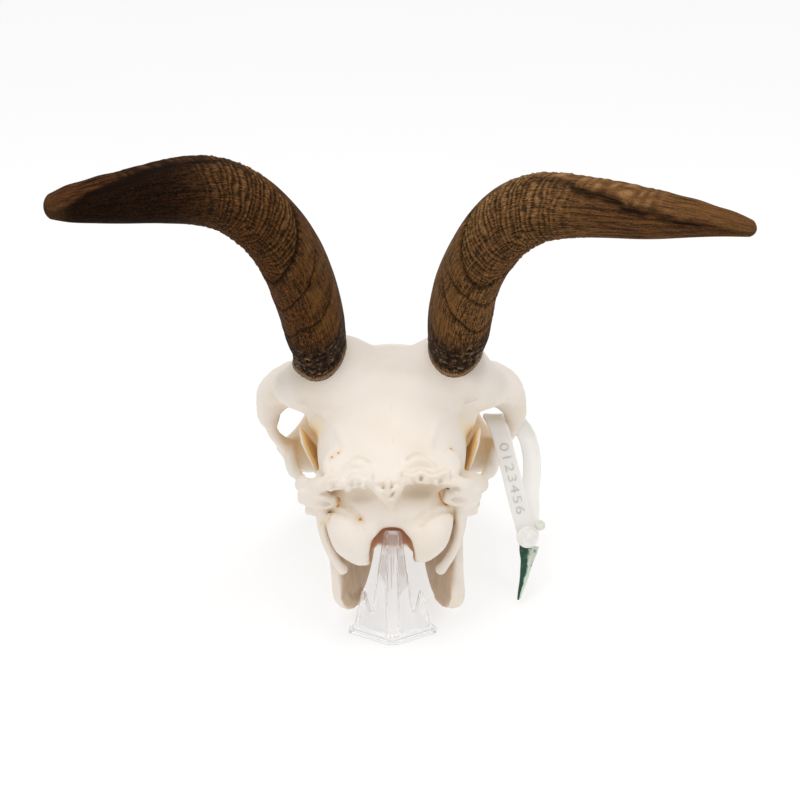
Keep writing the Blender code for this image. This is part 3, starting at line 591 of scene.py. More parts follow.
    # mastoid blocks with a shallow hollow in the rear face
    f.loft([(-37.6, 19.6, 63.3, 4.2, 3.0), (-35.8, 18.4, 63.3, 4.8, 3.4), (-31, 16.4, 63.3, 5.4, 3.4),
            (-26.5, 14.8, 63.6, 5.6, 3.3), (-23.2, 14.2, 64.2, 4.4, 2.8)], side=(0, 1, 0), p=5.0,
           cap=0.3, k=0.6)
    f.ball((-30.4, 10.4, 62.8), (5.0, 1.3, 1.4), roll=-4, k=0.9, cut=True)
    f.loft([(-37.4, 18.6, 66.4, 2.4, 1.0), (-32.5, 13.4, 66.6, 2.8, 1.2), (-27.5, 10.6, 67.0, 2.6, 1.1)],
           side=(0, 1, 0), k=1.0)
    f.loft([(36.4, 18.4, 64.3, 3.0, 2.2), (34.6, 17.0, 64.4, 4.4, 3.0), (30.4, 15.0, 64.9, 5.2, 3.4),
            (26, 13.6, 65.8, 5.4, 3.5), (22.4, 13.0, 66.8, 4.4, 3.0)], side=(0, 1, 0), p=5.0, cap=0.3,
           k=0.6)
    f.ball((29.6, 9.4, 65.0), (4.8, 1.3, 1.5), roll=14, k=0.9, cut=True)
    f.loft([(36.6, 17.4, 67.2, 2.4, 1.0), (31.6, 12.4, 68.4, 2.8, 1.2), (26.4, 9.6, 69.8, 2.6, 1.1)],
           side=(0, 1, 0), k=1.0)
    # occipital condyles, base of the skull, paroccipital processes
    f.loft([(-22.2, 15.5, 57, 6.0, 6.0), (-20.2, 9.8, 53.8, 7.6, 7.8), (-17.2, 7.0, 48.6, 8.5, 7.9),
            (-13.4, 7.2, 42.8, 7.0, 6.8), (-10.9, 10.2, 38.8, 4.0, 4.8)], side=(1, 0, -0.8), k=1.4)
    f.loft([(20.6, 15.5, 58, 6.0, 6.0), (18.8, 9.8, 55.0, 7.4, 7.8), (16.4, 7.0, 49.8, 8.2, 7.9),
            (13.2, 7.2, 44.0, 6.8, 6.6), (10.9, 10.2, 40.0, 3.8, 4.6)], side=(1, 0, 0.8), k=1.4)
    f.line([(27.4, 14.6, 56.0), (24.0, 9.4, 60.2), (18.6, 5.6, 60.4), (13.4, 3.8, 57.2),
            (11.4, 3.4, 53.0)], [0.8, 0.7, 0.7, 0.7, 0.6], k=1.6, cut=True, twin=True)
    f.ball((8.6, 7.4, 53.2), (5, 5.2, 5), twin=True, k=2.5)
    f.ball((11, 19, 42), (7, 9, 5), twin=True, k=2)
    f.loft([(0, 25, 39.5, 12, 4.4), (0, 45, 44, 9.5, 5), (0, 68, 48, 8, 6.5), (0, 84, 52, 9, 8)],
           k=2)
    f.loft([(29.0, 17, 59, 4.8, 3.6), (29.6, 15.5, 51, 4.0, 2.4), (28.2, 14.0, 44.0, 3.2, 2.0),
            (25.6, 13.2, 37.4, 2.6, 1.9), (22.6, 13, 32.4, 2.2, 2.1), (21.2, 13, 30.6, 2.5, 2.5)],
           side=(0, 1, 0), twin=True, k=1.0)
    # pterygoid and palatine walls of the choana, palate
    f.loft([(9, 66, 43.5, 7.5, 1.8), (10, 78, 44, 8.5, 1.9), (12, 92, 45, 8, 2.4)],
           side=(0, 0, 1), twin=True, k=1.5)
    f.ball((0, 128, 48), (19, 40, 5.0), k=2)
    # premaxillae with their nasal processes
    f.loft([(14.2, 164, 47.5, 10.5, 3.0), (13.4, 177, 46.5, 10.2, 2.7), (12.4, 189, 43.4, 7.0, 2.5),
            (10.4, 198.5, 40.4, 4.2, 2.6), (7.4, 206.5, 38.8, 2.9, 3.0), (4.4, 211.8, 38.2, 2.4, 2.8)],
           side=(0, 0, 1), twin=True, k=1.5)
    f.loft([(8.6, 168, 40.5, 5.5, 2.4), (8.0, 186, 39.6, 4.6, 2.2), (6.6, 202, 38.6, 3.8, 2.0),
            (5.2, 210, 38.2, 3.4, 2.0)], twin=True, k=1.5)
    f.loft([(-4, 209.5, 38.4, 3, 2), (4, 209.5, 38.4, 3, 2)], side=(0, 1, 0), k=1)
    # openings: orbits, foramen magnum, nose, palate vault, choana
    f.ball((47, 107.5, 68.2), (22, 17.2, 16.0), twin=True, yaw=22, k=1.5, cut=True)
    f.ball((38, 105, 69.5), (17, 14, 13.0), twin=True, k=1.5, cut=True)
    f.loft([(0.2, -14, 39, 9.8, 13.0), (0.2, 2, 41.0, 9.8, 13.3), (0.2, 8, 42.0, 9.8, 13.0),
            (0.2, 16, 45.6, 9.8, 10.2), (0, 28, 50, 8.6, 7.8), (0, 42, 56, 7, 6)], p=2.15, k=0.5,
           cut=True)
    f.loft([(0, 232, 50, 9, 9.5), (0, 196, 50, 9.6, 9.0), (0, 180, 51.5, 9.6, 8.2),
            (0, 165, 54, 8.5, 7.5), (0, 150, 57, 6, 6)], k=1, cut=True)
    f.ball((0, 128, 37), (17, 40, 8.0), k=1.5, cut=True)
    f.loft([(0, 58, 38, 6.6, 5), (0, 76, 42, 6.6, 6), (0, 92, 44, 6.4, 6)], k=1, cut=True)
    # upper cheek teeth down to the bite plane
    cheek_teeth(f, [(25.0, 90.5, 4.9, 6.6), (25.0, 105.0, 5.4, 6.8), (24.6, 118.4, 5.4, 5.9),
                    (22.9, 130.4, 4.9, 5.2), (21.0, 141.2, 4.4, 4.8), (19.0, 151.4, 3.6, 4.6)],
                1, 0, 1)
    f.ball((18.5, 153, 48.5), (4.2, 9, 5.5), twin=True, k=2)
    # temporal lines over the braincase, from the back of the horn burrs
    f.line([(-41.3, 52, 91.8), (-37.7, 48.1, 92.3), (-32.5, 48.6, 89.2), (-27.7, 45.6, 87.9),
            (-23.9, 36.2, 87.7), (-21.6, 29.2, 86.1), (-19.4, 22.4, 83.4)],
           [0.5, 0.7, 1.0, 1.0, 1.0, 0.8, 0.7], k=2.4)
    f.line([(37.4, 47.1, 96.0), (33.1, 45.9, 93.7), (27.5, 46.6, 90.6), (23.5, 42.0, 90.7),
            (19.9, 34.4, 90.2), (17.7, 27.2, 88.0), (16.3, 21.5, 84.7)],
           [0.5, 0.7, 1.0, 1.0, 1.0, 0.8, 0.7], k=2.4)
    # small openings and pits
    for x, y, z, r in PITS:
        f.ball((x, y - 0.2, z + 0.3), (r * 0.8, r, r), k=0.6, cut=True)
    f.ball((22, 102.5, 95.6), (1.8, 3.0, 2.4), twin=True, k=1.2, cut=True)     # supraorbital
    f.line([(21.4, 104, 94.6), (20.4, 110, 91.8), (18.8, 118, 87.6)], [1.0, 0.9, 0.6], k=1.6, cut=True,
           twin=True)
    f.line([(24.5, 160, 50.5), (28.5, 150, 51.0)], [2.0, 1.4], k=0.8, cut=True, twin=True)
    f.ball((40.5, 21.0, 57.4), (5.0, 2.4, 2.4), twin=True, k=1, cut=True)      # ear opening
    f.ball((24.5, 17.5, 70.5), (1.2, 2.0, 1.2), twin=True, k=0.6, cut=True)
    f.loft([(-34.8, 20, 71.2, 2.6, 1.5), (-35.2, 36, 64.4, 2.6, 1.4), (-35.8, 54, 56.8, 2.8, 1.8)],
           k=0.5, cut=True)                                                         # above the arch
    f.ball((16.5, 92, 57), (3.2, 4.0, 3.2), twin=True, k=1.5, cut=True)        # back of the orbit
    f.line([(12.6, 116, 86.3), (10.8, 140, 78.4), (8.8, 165, 69.8), (7.2, 184, 63.4)], 0.45,
           k=0.7, cut=True, twin=True)                                          # nasal seams
    f.line([(0, 112, 92.6), (0, 140, 82.4), (0, 165, 73.0), (0, 186, 63.6)], 0.4, k=0.7, cut=True)
    f.ball((0, 193, 61.4), (1.5, 6.0, 3.0), k=0.8, cut=True)
    f.line([(33.0, 133, 66), (28.6, 146, 60), (24.0, 160, 57.2), (17.8, 171, 57.0)], 0.4, k=0.6,
           cut=True, twin=True)                                                 # face seam
    f.line([(44.8, 118.5, 50.0), (46.0, 108, 42.0), (45.0, 96, 41.2)], 0.4, k=0.6, cut=True,
           twin=True)
    # right cheek arch: flaked end
    f.ball((41.2, 50.5, 60.2), (1.0, 1.3, 0.7), k=0.5, cut=True)
    f.ball((40.4, 46.6, 59.4), (1.2, 1.0, 0.6), k=0.5, cut=True)
    return f


# ================================================================ lower jaw
def jaw_field(side, h):
    s = 1 if side == "right" else -1
    lo, hi = ((0, 12, -6), (46, 218, 84)) if s > 0 else ((-46, 12, -6), (6, 218, 84))
    f = Field(lo, hi, h)

    def rows(r):
        return [(s * x + 4.2 * (1 - z / 65.0), y, z - 1.3 * (1 - z / 75.0), a, b)
                for x, y, z, a, b in r]

    def spot(x, y, z):
        return (s * x + 4.2 * (1 - z / 65.0), y, z - 1.3 * (1 - z / 75.0))

    lean = ((0.46 * s, 0, 1), (0.10 * s, 0, 1))
    f.loft(rows([(3.4, 207, 30.2, 3.4, 2.6), (5.2, 199, 25.2, 5.6, 3.5), (7.0, 188, 20.0, 7.2, 4.0),
                 (9.2, 174, 17.2, 8.8, 4.1), (12.0, 160, 16.8, 11.6, 4.6),
                 (14.8, 140, 16.8, 14.2, 5.2), (17.0, 118, 16.9, 16.2, 5.6),
                 (18.0, 98, 17.6, 17.6, 5.4), (18.0, 82, 19.8, 19.6, 4.4),
                 (18.9, 66, 22.8, 22.6, 3.4), (20.7, 50, 25.4, 24.8, 2.9),
                 (22.9, 38, 27.5, 25.2, 2.7), (24.8, 28, 30.5, 22.6, 2.5),
                 (25.5, 21, 33, 18.4, 2.2)]), side=lean, p=2.2, k=2)
    f.loft(rows([(25.4, 40, 32, 15, 2.7), (26.6, 35, 42, 11, 2.7), (28.6, 31.5, 49, 7, 3.2),
                 (30.2, 30.5, 52.2, 4.6, 4.0)]), side=(0, 1, 0), k=2)
    f.loft(rows([(28.0, 30.5, 53.9, 3.4, 2.3), (35.4, 30.5, 53.9, 3.4, 2.3)]), side=(0, 1, 0), k=1)
    # blade of the coronoid process, its rear edge waved
    f.loft(rows([(23.8, 62, 36, 18, 2.6), (27.4, 61, 49, 14.5, 1.9), (31.4, 58.8, 59, 11.0, 1.5),
                 (34.0, 57.2, 64.5, 9.0, 1.35), (36.2, 54.8, 70, 7.0, 1.2),
                 (37.6, 52.6, 74, 5.4, 1.1), (38.8, 50.5, 77.5, 4.0, 1.0)]), side=(0, 1, 0), k=1)
    f.line([spot(29.2, 46.2, 52.0), spot(31.8, 47.8, 58.4), spot(34.6, 48.6, 65.0),
            spot(36.6, 48.4, 70.4), spot(38.2, 47.8, 75.6)], [1.3, 1.25, 1.1, 1.2, 1.1], k=0.8)
    f.loft(rows([(26.6, 24, 45, 2.6, 2.4), (26.3, 19.5, 36, 2.8, 2.5), (25.7, 17, 26, 3.0, 2.5),
                 (25.6, 20, 15, 3.2, 2.6), (23.3, 29.5, 6.8, 3.4, 2.8), (19.0, 42, 3.4, 3.4, 3.0)]),
           side=(1, 0, 0), k=2)
    # shallow masseter hollow outside, pterygoid hollow inside
    f.ball(spot(30.6, 38, 24), (3.2, 13, 15), k=2.5, cut=True)
    f.ball(spot(15.2, 38, 30), (3.6, 12, 12), k=2.5, cut=True)
    f.ball(spot(20.0, 52, 34), (1.6, 2.6, 2.0), k=0.8, cut=True)
    f.ball(spot(10.4, 181, 21), (2.4, 3.4, 1.5), k=0.8, cut=True)
    cheek_rows = [(23.6, 90.0, 3.3, 7.6), (22.9, 104.6, 3.6, 6.7), (21.8, 117.4, 3.5, 5.8),
                  (20.2, 128.8, 3.1, 5.3), (18.4, 139.4, 2.7, 5.0), (16.4, 149.4, 2.3, 4.7)]
    for x, y, hw, hl in cheek_rows:
        z = bite(y) - 0.5
        for lobe in (-0.5, 0.5):
            yy = y + lobe * hl
            f.loft(rows([(x, yy, z - 13, hw * 0.95, hl * 0.5), (x, yy, z - 6, hw, hl * 0.54),
                         (x, yy, z - 0.25, hw * 0.85, hl * 0.5)]), side=(1, 0, 0), p=3.0, cap=0.15,
                   k=0.5, per=2)
        for st in (-0.96, 0.0, 0.96):
            for out in (-1, 1):
                xx = x + out * hw * 0.85
                f.line([spot(xx, y + st * hl, z - 12), spot(xx, y + st * hl, z - 6),
                        spot(xx, y + st * hl, z - 0.4)], 0.6, k=0.7)
    # incisors, four a side, fanned forward
    for i, (x, yb, w) in enumerate([(2.0, 211.8, 1.5), (4.6, 210.9, 1.6), (7.2, 209.2, 1.5),
                                    (9.2, 207.2, 1.3)]):
        f.loft(rows([(x * 0.75, yb - 7.5, 28.4 - i * 0.3, 1.1, 1.3), (x * 0.9, yb - 3.5, 31.2, w, 1.1),
                     (x, yb, 33.4, w * 1.1, 0.75)]), side=(1, 0, 0), per=2, k=0.5)
    f.loft(rows([(2.8, 206, 30.0, 2.2, 2.6), (3.0, 209.5, 31.2, 2.2, 1.6)]), k=0.8)
    f.loft(rows([(6.2, 204.0, 29.4, 2.6, 2.8), (6.8, 207.0, 30.6, 2.2, 1.6)]), k=0.8)
    f.slab(2, 0.0)
    mid = 4.2 * 0.6
    f.slab(0, mid + s * 0.2, keep_above=s > 0)
    return f


def blur(v, r, times=3):
    for _ in range(times):
        for ax in range(3):
            pad = [(0, 0)] * 3
            pad[ax] = (r + 1, r)
            c = np.cumsum(np.pad(v, pad, mode='edge'), axis=ax)
            n = v.shape[ax]
            hi = [slice(None)] * 3
            lo = [slice(None)] * 3
            hi[ax] = slice(2 * r + 1, 2 * r + 1 + n)
            lo[ax] = slice(0, n)
            v = (c[tuple(hi)] - c[tuple(lo)]) / (2 * r + 1)
    return v


H = 0.66
CRAN = cranium_field(H)
JAWS = {side: jaw_field(side, H) for side in ("right", "left")}

# how closed in each place is: share of solid round it, used to paint shade into the bone colour
G3 = 3 * H
_glo = np.floor(np.array([-72.0, -12, -9]) / G3) * G3
_gn = ((np.array([72.0, 228, 120]) - _glo) / G3).astype(int) + 2
SOLID = np.zeros(_gn, np.float32)
for _f in (CRAN, JAWS["right"], JAWS["left"]):
    _o = np.round((_f.lo - _glo) / G3).astype(int)
    _c = (_f.v[::3, ::3, ::3] < 0).astype(np.float32)
    _sl = tuple(slice(int(_o[i]), int(_o[i]) + _c.shape[i]) for i in range(3))
    SOLID[_sl] = np.maximum(SOLID[_sl], _c[:SOLID[_sl].shape[0], :SOLID[_sl].shape[1],
                                            :SOLID[_sl].shape[2]])
NEAR = blur(SOLID, max(1, int(round(4.0 / G3))))
WIDE = blur(SOLID, max(2, int(round(11.0 / G3))))


def closeness(p, n):
    a = sample(NEAR, _glo, G3, p + n * 2.5)
    b = sample(WIDE, _glo, G3, p + n * 7.0)
    return a, b


def bone_piece(name, field, tris, node):
    pos, quads = main_body(*field.mesh())
    ob = make(name, pos, quads)
    ob = soften(ob, 3)
    ob = thin_out(ob, tris)
    p, n = coords(ob)
    a, b = closeness(p, n)
    attr(ob, "near", a)
    attr(ob, "wide", b)
    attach(ob, "root")
    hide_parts(node)
    return ob, p, n


TRIS = 190000
cran, cp, cn = bone_piece("skull", CRAN, TRIS, "cranium")
seam = np.full(len(cp), 9.0)
for line in SUTURES:
    seam = np.minimum(seam, to_line(cp, line))
attr(cran, "seam", seam)
crack = np.full(len(cp), 9.0)
for line in CRACKS:
    crack = np.minimum(crack, to_line(cp, line))
for x, y, z, r in PITS:
    crack = np.minimum(crack, np.maximum(np.linalg.norm(cp - [x, y, z], axis=1) - r * 0.6, 0))
attr(cran, "crack", crack)
# golden inner walls deep in the temporal openings and inside the foramen: painted warm light and shade, not the bone's
# own colour
ax_ = np.abs(cp[:, 0])
painted_warm_light = (step(ax_, 18, 23) * (1 - step(ax_, 47, 53)) * step(cp[:, 1], 36, 56)
        * (1 - step(cp[:, 1], 122, 130)) * step(cp[:, 2], 44, 50) * (1 - step(cp[:, 2], 88, 95)))
painted_warm_light = painted_warm_light * (1 - step(0.39 * cp[:, 1] + 0.92 * cp[:, 2], 91, 100) * (1 - step(cp[:, 1], 84, 92)))
painted_warm_light = painted_warm_light * (1 - 0.6 * step(cp[:, 1], 92, 104))
attr(cran, "painted_warm_light", painted_warm_light)
# painted shade: tan on the side-facing walls of the orbit floor and cheek
attr(cran, "orbit_wall_shade", step(cn[:, 2], -0.35, 0.35) * step(ax_, 24, 28) * (1 - step(ax_, 50, 54))
     * step(cp[:, 1], 84, 92) * (1 - step(cp[:, 1], 120, 124)) * step(cp[:, 2], 42, 46)
     * (1 - step(cp[:, 2], 58, 64)))
# painted shade and warm light inside the braincase, seen through the foramen magnum
_zc = np.interp(cp[:, 1], [2, 8, 16, 28, 42], [41.0, 42.0, 45.6, 50.0, 56.0])
_rx = np.interp(cp[:, 1], [2, 8, 16, 28, 42], [10.0, 10.0, 9.8, 8.6, 7.0])
_rz = np.interp(cp[:, 1], [2, 8, 16, 28, 42], [13.1, 12.8, 10.2, 7.8, 6.0])
_e = (np.abs((cp[:, 0] - 0.2) / _rx) ** 2.15 + np.abs((cp[:, 2] - _zc) / _rz) ** 2.15) ** (1 / 2.15)
core = (1 - step(_e, 1.05, 1.12)) * (0.35 * step(cp[:, 1], 1.5, 5.0) + 0.65 * step(cp[:, 1], 4.5, 8.5)) * (1 - step(cp[:, 1], 48, 55))
attr(cran, "core", core)
attr(cran, "vault", step(cp[:, 2], 42, 52))
# painted shadow under the overhanging nuchal lip
hollow = 0.45 * np.exp(-((cp[:, 0] + 13) / 11) ** 2 - ((cp[:, 2] - 67) / 5.0) ** 2)
hollow = hollow + np.exp(-((cp[:, 0] - 12) / 10) ** 2 - ((cp[:, 2] - 69.5) / 4.6) ** 2)
attr(cran, "hollow", np.clip(hollow, 0, 1) * (1 - step(cp[:, 1], 9, 15)))
jaws = {}
for side in ("right", "left"):
    ob, p, n = bone_piece("jaw_" + side, JAWS[side], TRIS // 2, "mandible_" + side)
    s = 1 if side == "right" else -1
    # painted shade on the inward-facing sides of the jaw
    attr(ob, "inner", step(-n[:, 0] * s, -0.1, 0.7))
    # painted warm light on the shaded inner face of the coronoid blade
    attr(ob, "painted_warm_light", step(-n[:, 0] * s, -0.35, 0.25) * step(p[:, 2], 40, 50) * step(p[:, 1], 40, 48))
    attr(ob, "tooth", step(p[:, 2] - (bite(p[:, 1]) - 9.0), -1.5, 1.5) * step(p[:, 1], 80, 83)
         * (1 - step(p[:, 1], 154, 157)))
    jaws[side] = ob
attr(cran, "tooth", (1 - step(cp[:, 2] - (bite(cp[:, 1]) + 8.5), -1.5, 1.5)) * step(cp[:, 1], 82, 85)
     * (1 - step(cp[:, 1], 155, 158)) * step(ax_, 13, 15) * (1 - step(ax_, 30.5, 32.0)))


# ================================================================ horns
HORNS = {
    "right": [(31.0, 75.5, 95, 22.5, 13.2), (29.0, 71.5, 110, 23.2, 13.7),
              (29.3, 66, 123, 22.5, 13.8), (30.3, 60.5, 134, 21.6, 13.8),
              (32.2, 54, 146, 20.4, 13.6), (36.0, 46, 159, 19.0, 13.3),
              (41.5, 37, 172, 17.6, 12.9), (49.5, 27, 184, 16.0, 12.4),
              (60.0, 16.5, 192, 14.4, 11.6), (72.0, 6, 196, 13.0, 10.4),
              (86.0, -5, 198.5, 11.4, 9.1), (101.0, -16, 200, 9.5, 7.6),
              (117.0, -26, 201.5, 7.3, 6.0), (130.0, -34, 202, 5.0, 4.2),
              (138.5, -39, 201.6, 3.0, 2.8)],
    "left": [(-34.0, 75.5, 95, 22.5, 13.2), (-33.0, 71.5, 109.5, 23.2, 13.7),
             (-33.8, 66.5, 122.5, 22.5, 13.8), (-35.4, 61.5, 133.5, 21.6, 13.8),
             (-38.0, 55.5, 145.5, 20.4, 13.6), (-41.5, 48, 158.5, 19.0, 13.4),
             (-47.0, 39.5, 172, 17.8, 13.2), (-55.5, 30, 185.5, 16.4, 12.8),
             (-66.0, 19.5, 196, 15.0, 12.0), (-77.5, 8, 202, 13.8, 11.0),
             (-90.0, -4, 205, 12.4, 9.8), (-102.5, -14.5, 206.5, 10.4, 8.4),
             (-114.0, -24, 208, 8.4, 6.8), (-123.5, -31.5, 209, 6.6, 5.4),
             (-130.5, -37, 209.8, 4.4, 4.0)]}
# growth grooves: points of (angle, distance along), depth; angle runs from the
# keel over the inner face (90) and the back (180) to the outer face (270)
GROOVES = {
    "right": [([(60, 96), (110, 84), (150, 79), (182, 77), (202, 84), (235, 92), (280, 97)], 0.9, 1.3),
              ([(110, 70), (164, 69.6), (188, 67.4), (210, 64.4), (250, 66), (290, 74)], 0.55, 0.8),
              ([(100, 64), (146, 56.2), (170, 53.9), (190, 49.6), (206, 46.4), (240, 46), (290, 54)],
               0.6, 0.9),
              ([(150, 44), (190, 41), (230, 40), (280, 46)], 0.25, 0.7)],
    "left": [([(70, 99), (110, 92), (140, 88.3), (168, 85), (206, 77.5), (240, 80), (280, 90)], 0.8, 1.3),
             ([(100, 78), (148, 70.3), (180, 66.3), (218, 57.7), (250, 60), (290, 70)], 0.55, 0.8),
             ([(100, 56), (148, 49.6), (192, 47.9), (230, 37.4), (260, 40), (300, 50)], 0.55, 0.9),
             ([(130, 41), (180, 39), (210, 36), (250, 34)], 0.25, 0.7)]}
HOLES = {"right": (36.0, 196.0), "left": (28.2, 192.0)}


def fbm1(x, seed, n=5, base=1.0):
    rng = np.random.RandomState(seed)
    out = 0.0
    for i in range(n):
        out = out + np.sin(x * base * 1.9 ** i + rng.uniform(0, 6.28)) * 0.62 ** i
    return out / 2.0


def horn(side):
    sg = 1 if side == "right" else -1
    r = through(HORNS[side], 24)
    pts = r[:, :3]
    _, fa, fb = section_frames(pts, ((0, 1.0, 0.05), (0, 0.25, 1.0)))
    fb = fb * sg
    s_of = np.concatenate([[0], np.cumsum(np.linalg.norm(np.diff(pts, axis=0), axis=1))])
    total = s_of[-1]
    ns, nf = ((560, 176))
    ang = np.linspace(0, 2 * math.pi, nf, endpoint=False)
    tip = 0.45 * r[-1, 4]

    def curve(s):
        out = []
        for arr in (pts, fa, fb):
            out.append(np.stack([np.interp(s, s_of, arr[:, i]) for i in range(3)], -1))
        return out, np.interp(s, s_of, r[:, 3]), np.interp(s, s_of, r[:, 4])

    def skin(s, f, lift=0.0):
        """Surface point at distance s along and angle f round, raised by lift."""
        (c, a, b), ra, rb = curve(s)
        # round the tip off over the last few millimetres
        q = np.clip((s - (total - 2.6)) / 2.6, 0, 1)
        k = np.sqrt(np.clip(1 - q * q, 0.0, 1))
        g = 1 + 0.07 * np.exp(-(np.minimum(f, 2 * math.pi - f) / 0.42) ** 2)
        cu, su = np.cos(f), np.sin(f)
        n = a * (cu / ra)[..., None] + b * (su / rb)[..., None]
        n = n / np.linalg.norm(n, axis=-1, keepdims=True)
        return (c + a * (cu * ra * g * k)[..., None] + b * (su * rb * k)[..., None]
                + n * np.asarray(lift)[..., None]), n

    # where each line along the horn leaves the bone
    probe = np.linspace(2.0, 60.0, 117)
    sp, fp = np.meshgrid(probe, ang, indexing='ij')
    inside = CRAN.at(skin(sp, fp, -(1.7 - 1.1 * np.sin(fp)) * (1 - step(sp, 17, 31)))[0].reshape(-1, 3)).reshape(sp.shape) < 0.15
    start = np.array([probe[np.nonzero(inside[:, j])[0].max()] if inside[:, j].any() else probe[0]
                      for j in range(nf)])
    for _ in range(6):
        start = (np.roll(start, 1) + 2 * start + np.roll(start, -1)) / 4
    wob = 0.5 * np.sin(ang * 7 + 1.2) + 0.35 * np.sin(ang * 13 + 0.4 * sg) + 0.25 * np.sin(ang * 23)
    start = start + wob * 0.5 - 0.2
    t = np.linspace(0, 1, ns)
    s = start[None, :] + (total - start[None, :]) * t[:, None]
    f = np.broadcast_to(ang, s.shape)
    fd = np.degrees(f)
    deg = np.degrees(ang)

    rise = s - start[None, :]                    # height over the bone
    # the ridged band starts above the step groove and turns onto the keel
    bound = np.interp(s, [60, 76, 81, 88, 98, 112, 130, 160, 220],
                      [200, 172, 112, 66, 40, 8, -20, -30, -40])
    fw = np.where(fd > 330, fd - 360, fd)
    ridged = step(fw, bound - 22, bound + 34) * (1 - step(fd, 285, 325) * (1 - step(s, 100, 125)))
    groove0 = np.interp(fd, *zip(*GROOVES[side][0][0]), left=110, right=104)
    above = step(s, groove0 - 0.6, groove0 + 1.2)
    fade = 1 - step(s, 122, 156)
    strip_edge = np.interp(s, [110, 124, 136, 150, 165, 185, 205, 220], [16, 30, 42, 56, 70, 88, 104, 116])
    strip_edge = strip_edge + 4.0 * np.sin(s * 0.30 + 0.6) + 2.2 * np.sin(s * 0.83)
    if side == "left":
        strip_edge = np.interp(s, [110, 128, 150, 175, 195, 205, 212], [16, 24, 30, 40, 60, 96, 120])
    strip = (1 - step(fd, strip_edge - 12, strip_edge + 5)) + step(fd, 318, 338)
    strip = np.clip(strip, 0, 1) * step(s, 108, 128)

    # ridges: beaded transverse crests, tilted a little round the horn
    tilt = 2.2 * np.sin(f - 0.6) + 0.9 * np.sin(2 * f + 1.0)
    pitch = np.interp(s, [60, 90, 120, 150, 220], [2.0, 2.2, 2.5, 3.4, 4.6])
    fine = np.linspace(0, total + 1, 2000)
    turns = np.concatenate([[0], np.cumsum(np.diff(fine) / np.interp(fine[1:], [60, 90, 120, 150, 220],
                                                                      [2.0, 2.2, 2.5, 3.4, 4.6]))])
    wav = 0.28 * np.sin(0.9 * s * 0.31 + 3 * f) + 0.22 * np.sin(5 * f + s * 0.12)
    ph = (np.interp(s + tilt, fine, turns) + wav * 0.45 + 0.22 * np.sin(s * 0.47 + 0.8 * np.sin(2 * f))
          + 0.13 * np.sin(s * 1.13 + 4 * f) + 0.10 * np.sin(9 * f + s * 0.35))
    wave = 0.5 + 0.5 * np.cos(2 * math.pi * ph)
    cell = np.floor(ph + 0.5)
    bead = 0.58 + 0.42 * np.sin(f * 26 + cell * 2.4) * np.sin(f * 9 + cell * 5.1 + 0.7)
    strong = 0.55 + 0.45 * np.sin(cell * 12.9898 + 1.7) * np.sin(2 * f + cell * 0.9)
    crest = wave ** 1.5
    amp = ridged * above * fade
    lift = amp * (crest * 0.80 * bead * (0.6 + 0.5 * strong) - 0.28)
    lift -= (1.7 - 1.1 * np.sin(f)) * (1 - step(s, 17, 31))
    # big lumps on the keel strip
    ph2 = (s + 1.5 * np.sin(f)) / 5.4 + 0.30 * np.sin(s * 0.21) + 0.16 * np.sin(s * 0.53 + 3 * f)
    lump = (0.5 + 0.5 * np.cos(2 * math.pi * ph2)) ** 1.4
    keel_on = strip * (1 - step(s, 168, 192)) * step(s, 104, 122) * (1.0 if side == "right" else 0.4)
    lift += keel_on * (lump * (0.24 + 0.12 * np.sin(s * 0.37 + 5 * f)) - 0.12)
    lift += 0.25 * strip * step(s, 150, 175) * (0.5 + 0.5 * np.sin(s * 0.42 + 1.3 * sg))
    # fine growth rings everywhere low down, weak on the inner face
    ring = np.sin(2 * math.pi * (s + tilt * 0.8) / 1.35 + 1.6 * np.sin(3 * f + s * 0.09))
    low = (1 - above * ridged) * (1 - step(s, 118, 150))
    outer = step(fd, 150, 190) * (1 - step(fd, 290, 320))
    lift += low * ring * (0.035 + 0.075 * outer)
    # slow swell and fibres along the horn
    fibre = fbm1(f * 30 + 0.9 * np.sin(s * 0.05), 11, 4, 1.0) + 0.5 * np.sin(f * 71 + s * 0.03)
    lift += 0.05 * fibre
    lift += 0.25 * np.sin(s * 0.11 + 2 * f + sg) * step(rise, 0, 20)
    # growth grooves
    dark = np.zeros_like(s)
    for path, depth, width in GROOVES[side]:
        at = np.interp(fd, *zip(*path), left=path[0][1] + 5, right=path[-1][1] + 5)
        ends = step(fd, path[0][0] - 25, path[0][0] + 25) * (1 - step(fd, path[-1][0] - 25,
                                                                     path[-1][0] + 25))
        wobble = 0.12 * np.sin(f * 17 + depth * 9) + 0.08 * np.sin(f * 31)
        d = s - at - wobble
        prof = np.exp(-(d / width) ** 2) * ends
        lift -= depth * prof
        # the younger sheath below the groove stands a little proud
        lift += 0.35 * depth * np.exp(-((d + 2.4 * width) / (1.6 * width)) ** 2) * ends
        # groove colour is painted shade, darker where the groove is deeper
        dark = np.maximum(dark, prof * min(1.0, depth / 0.6))
    # dark line under the keel strip: a shallow groove with painted shade in it
    under = np.exp(-((fd - strip_edge - 10) / 11.0) ** 2) * step(s, 118, 140) * (1 - step(s, 196, 208))
    lift -= 0.20 * under
    # worn foot: flared lip with small steps
    lift += 0.30 * np.exp(-(rise / 2.2) ** 2) + 0.12 * np.exp(-((rise - 5.6) / 0.8) ** 2)
    lift -= 0.35 * np.exp(-((rise - 3.6) / 0.7) ** 2) * (0.6 + 0.4 * np.sin(f * 5 + 0.5))
    lift -= 0.20 * np.exp(-((rise - 8.4) / 0.6) ** 2) * (0.5 + 0.5 * np.sin(f * 4 + 2.0 * sg))
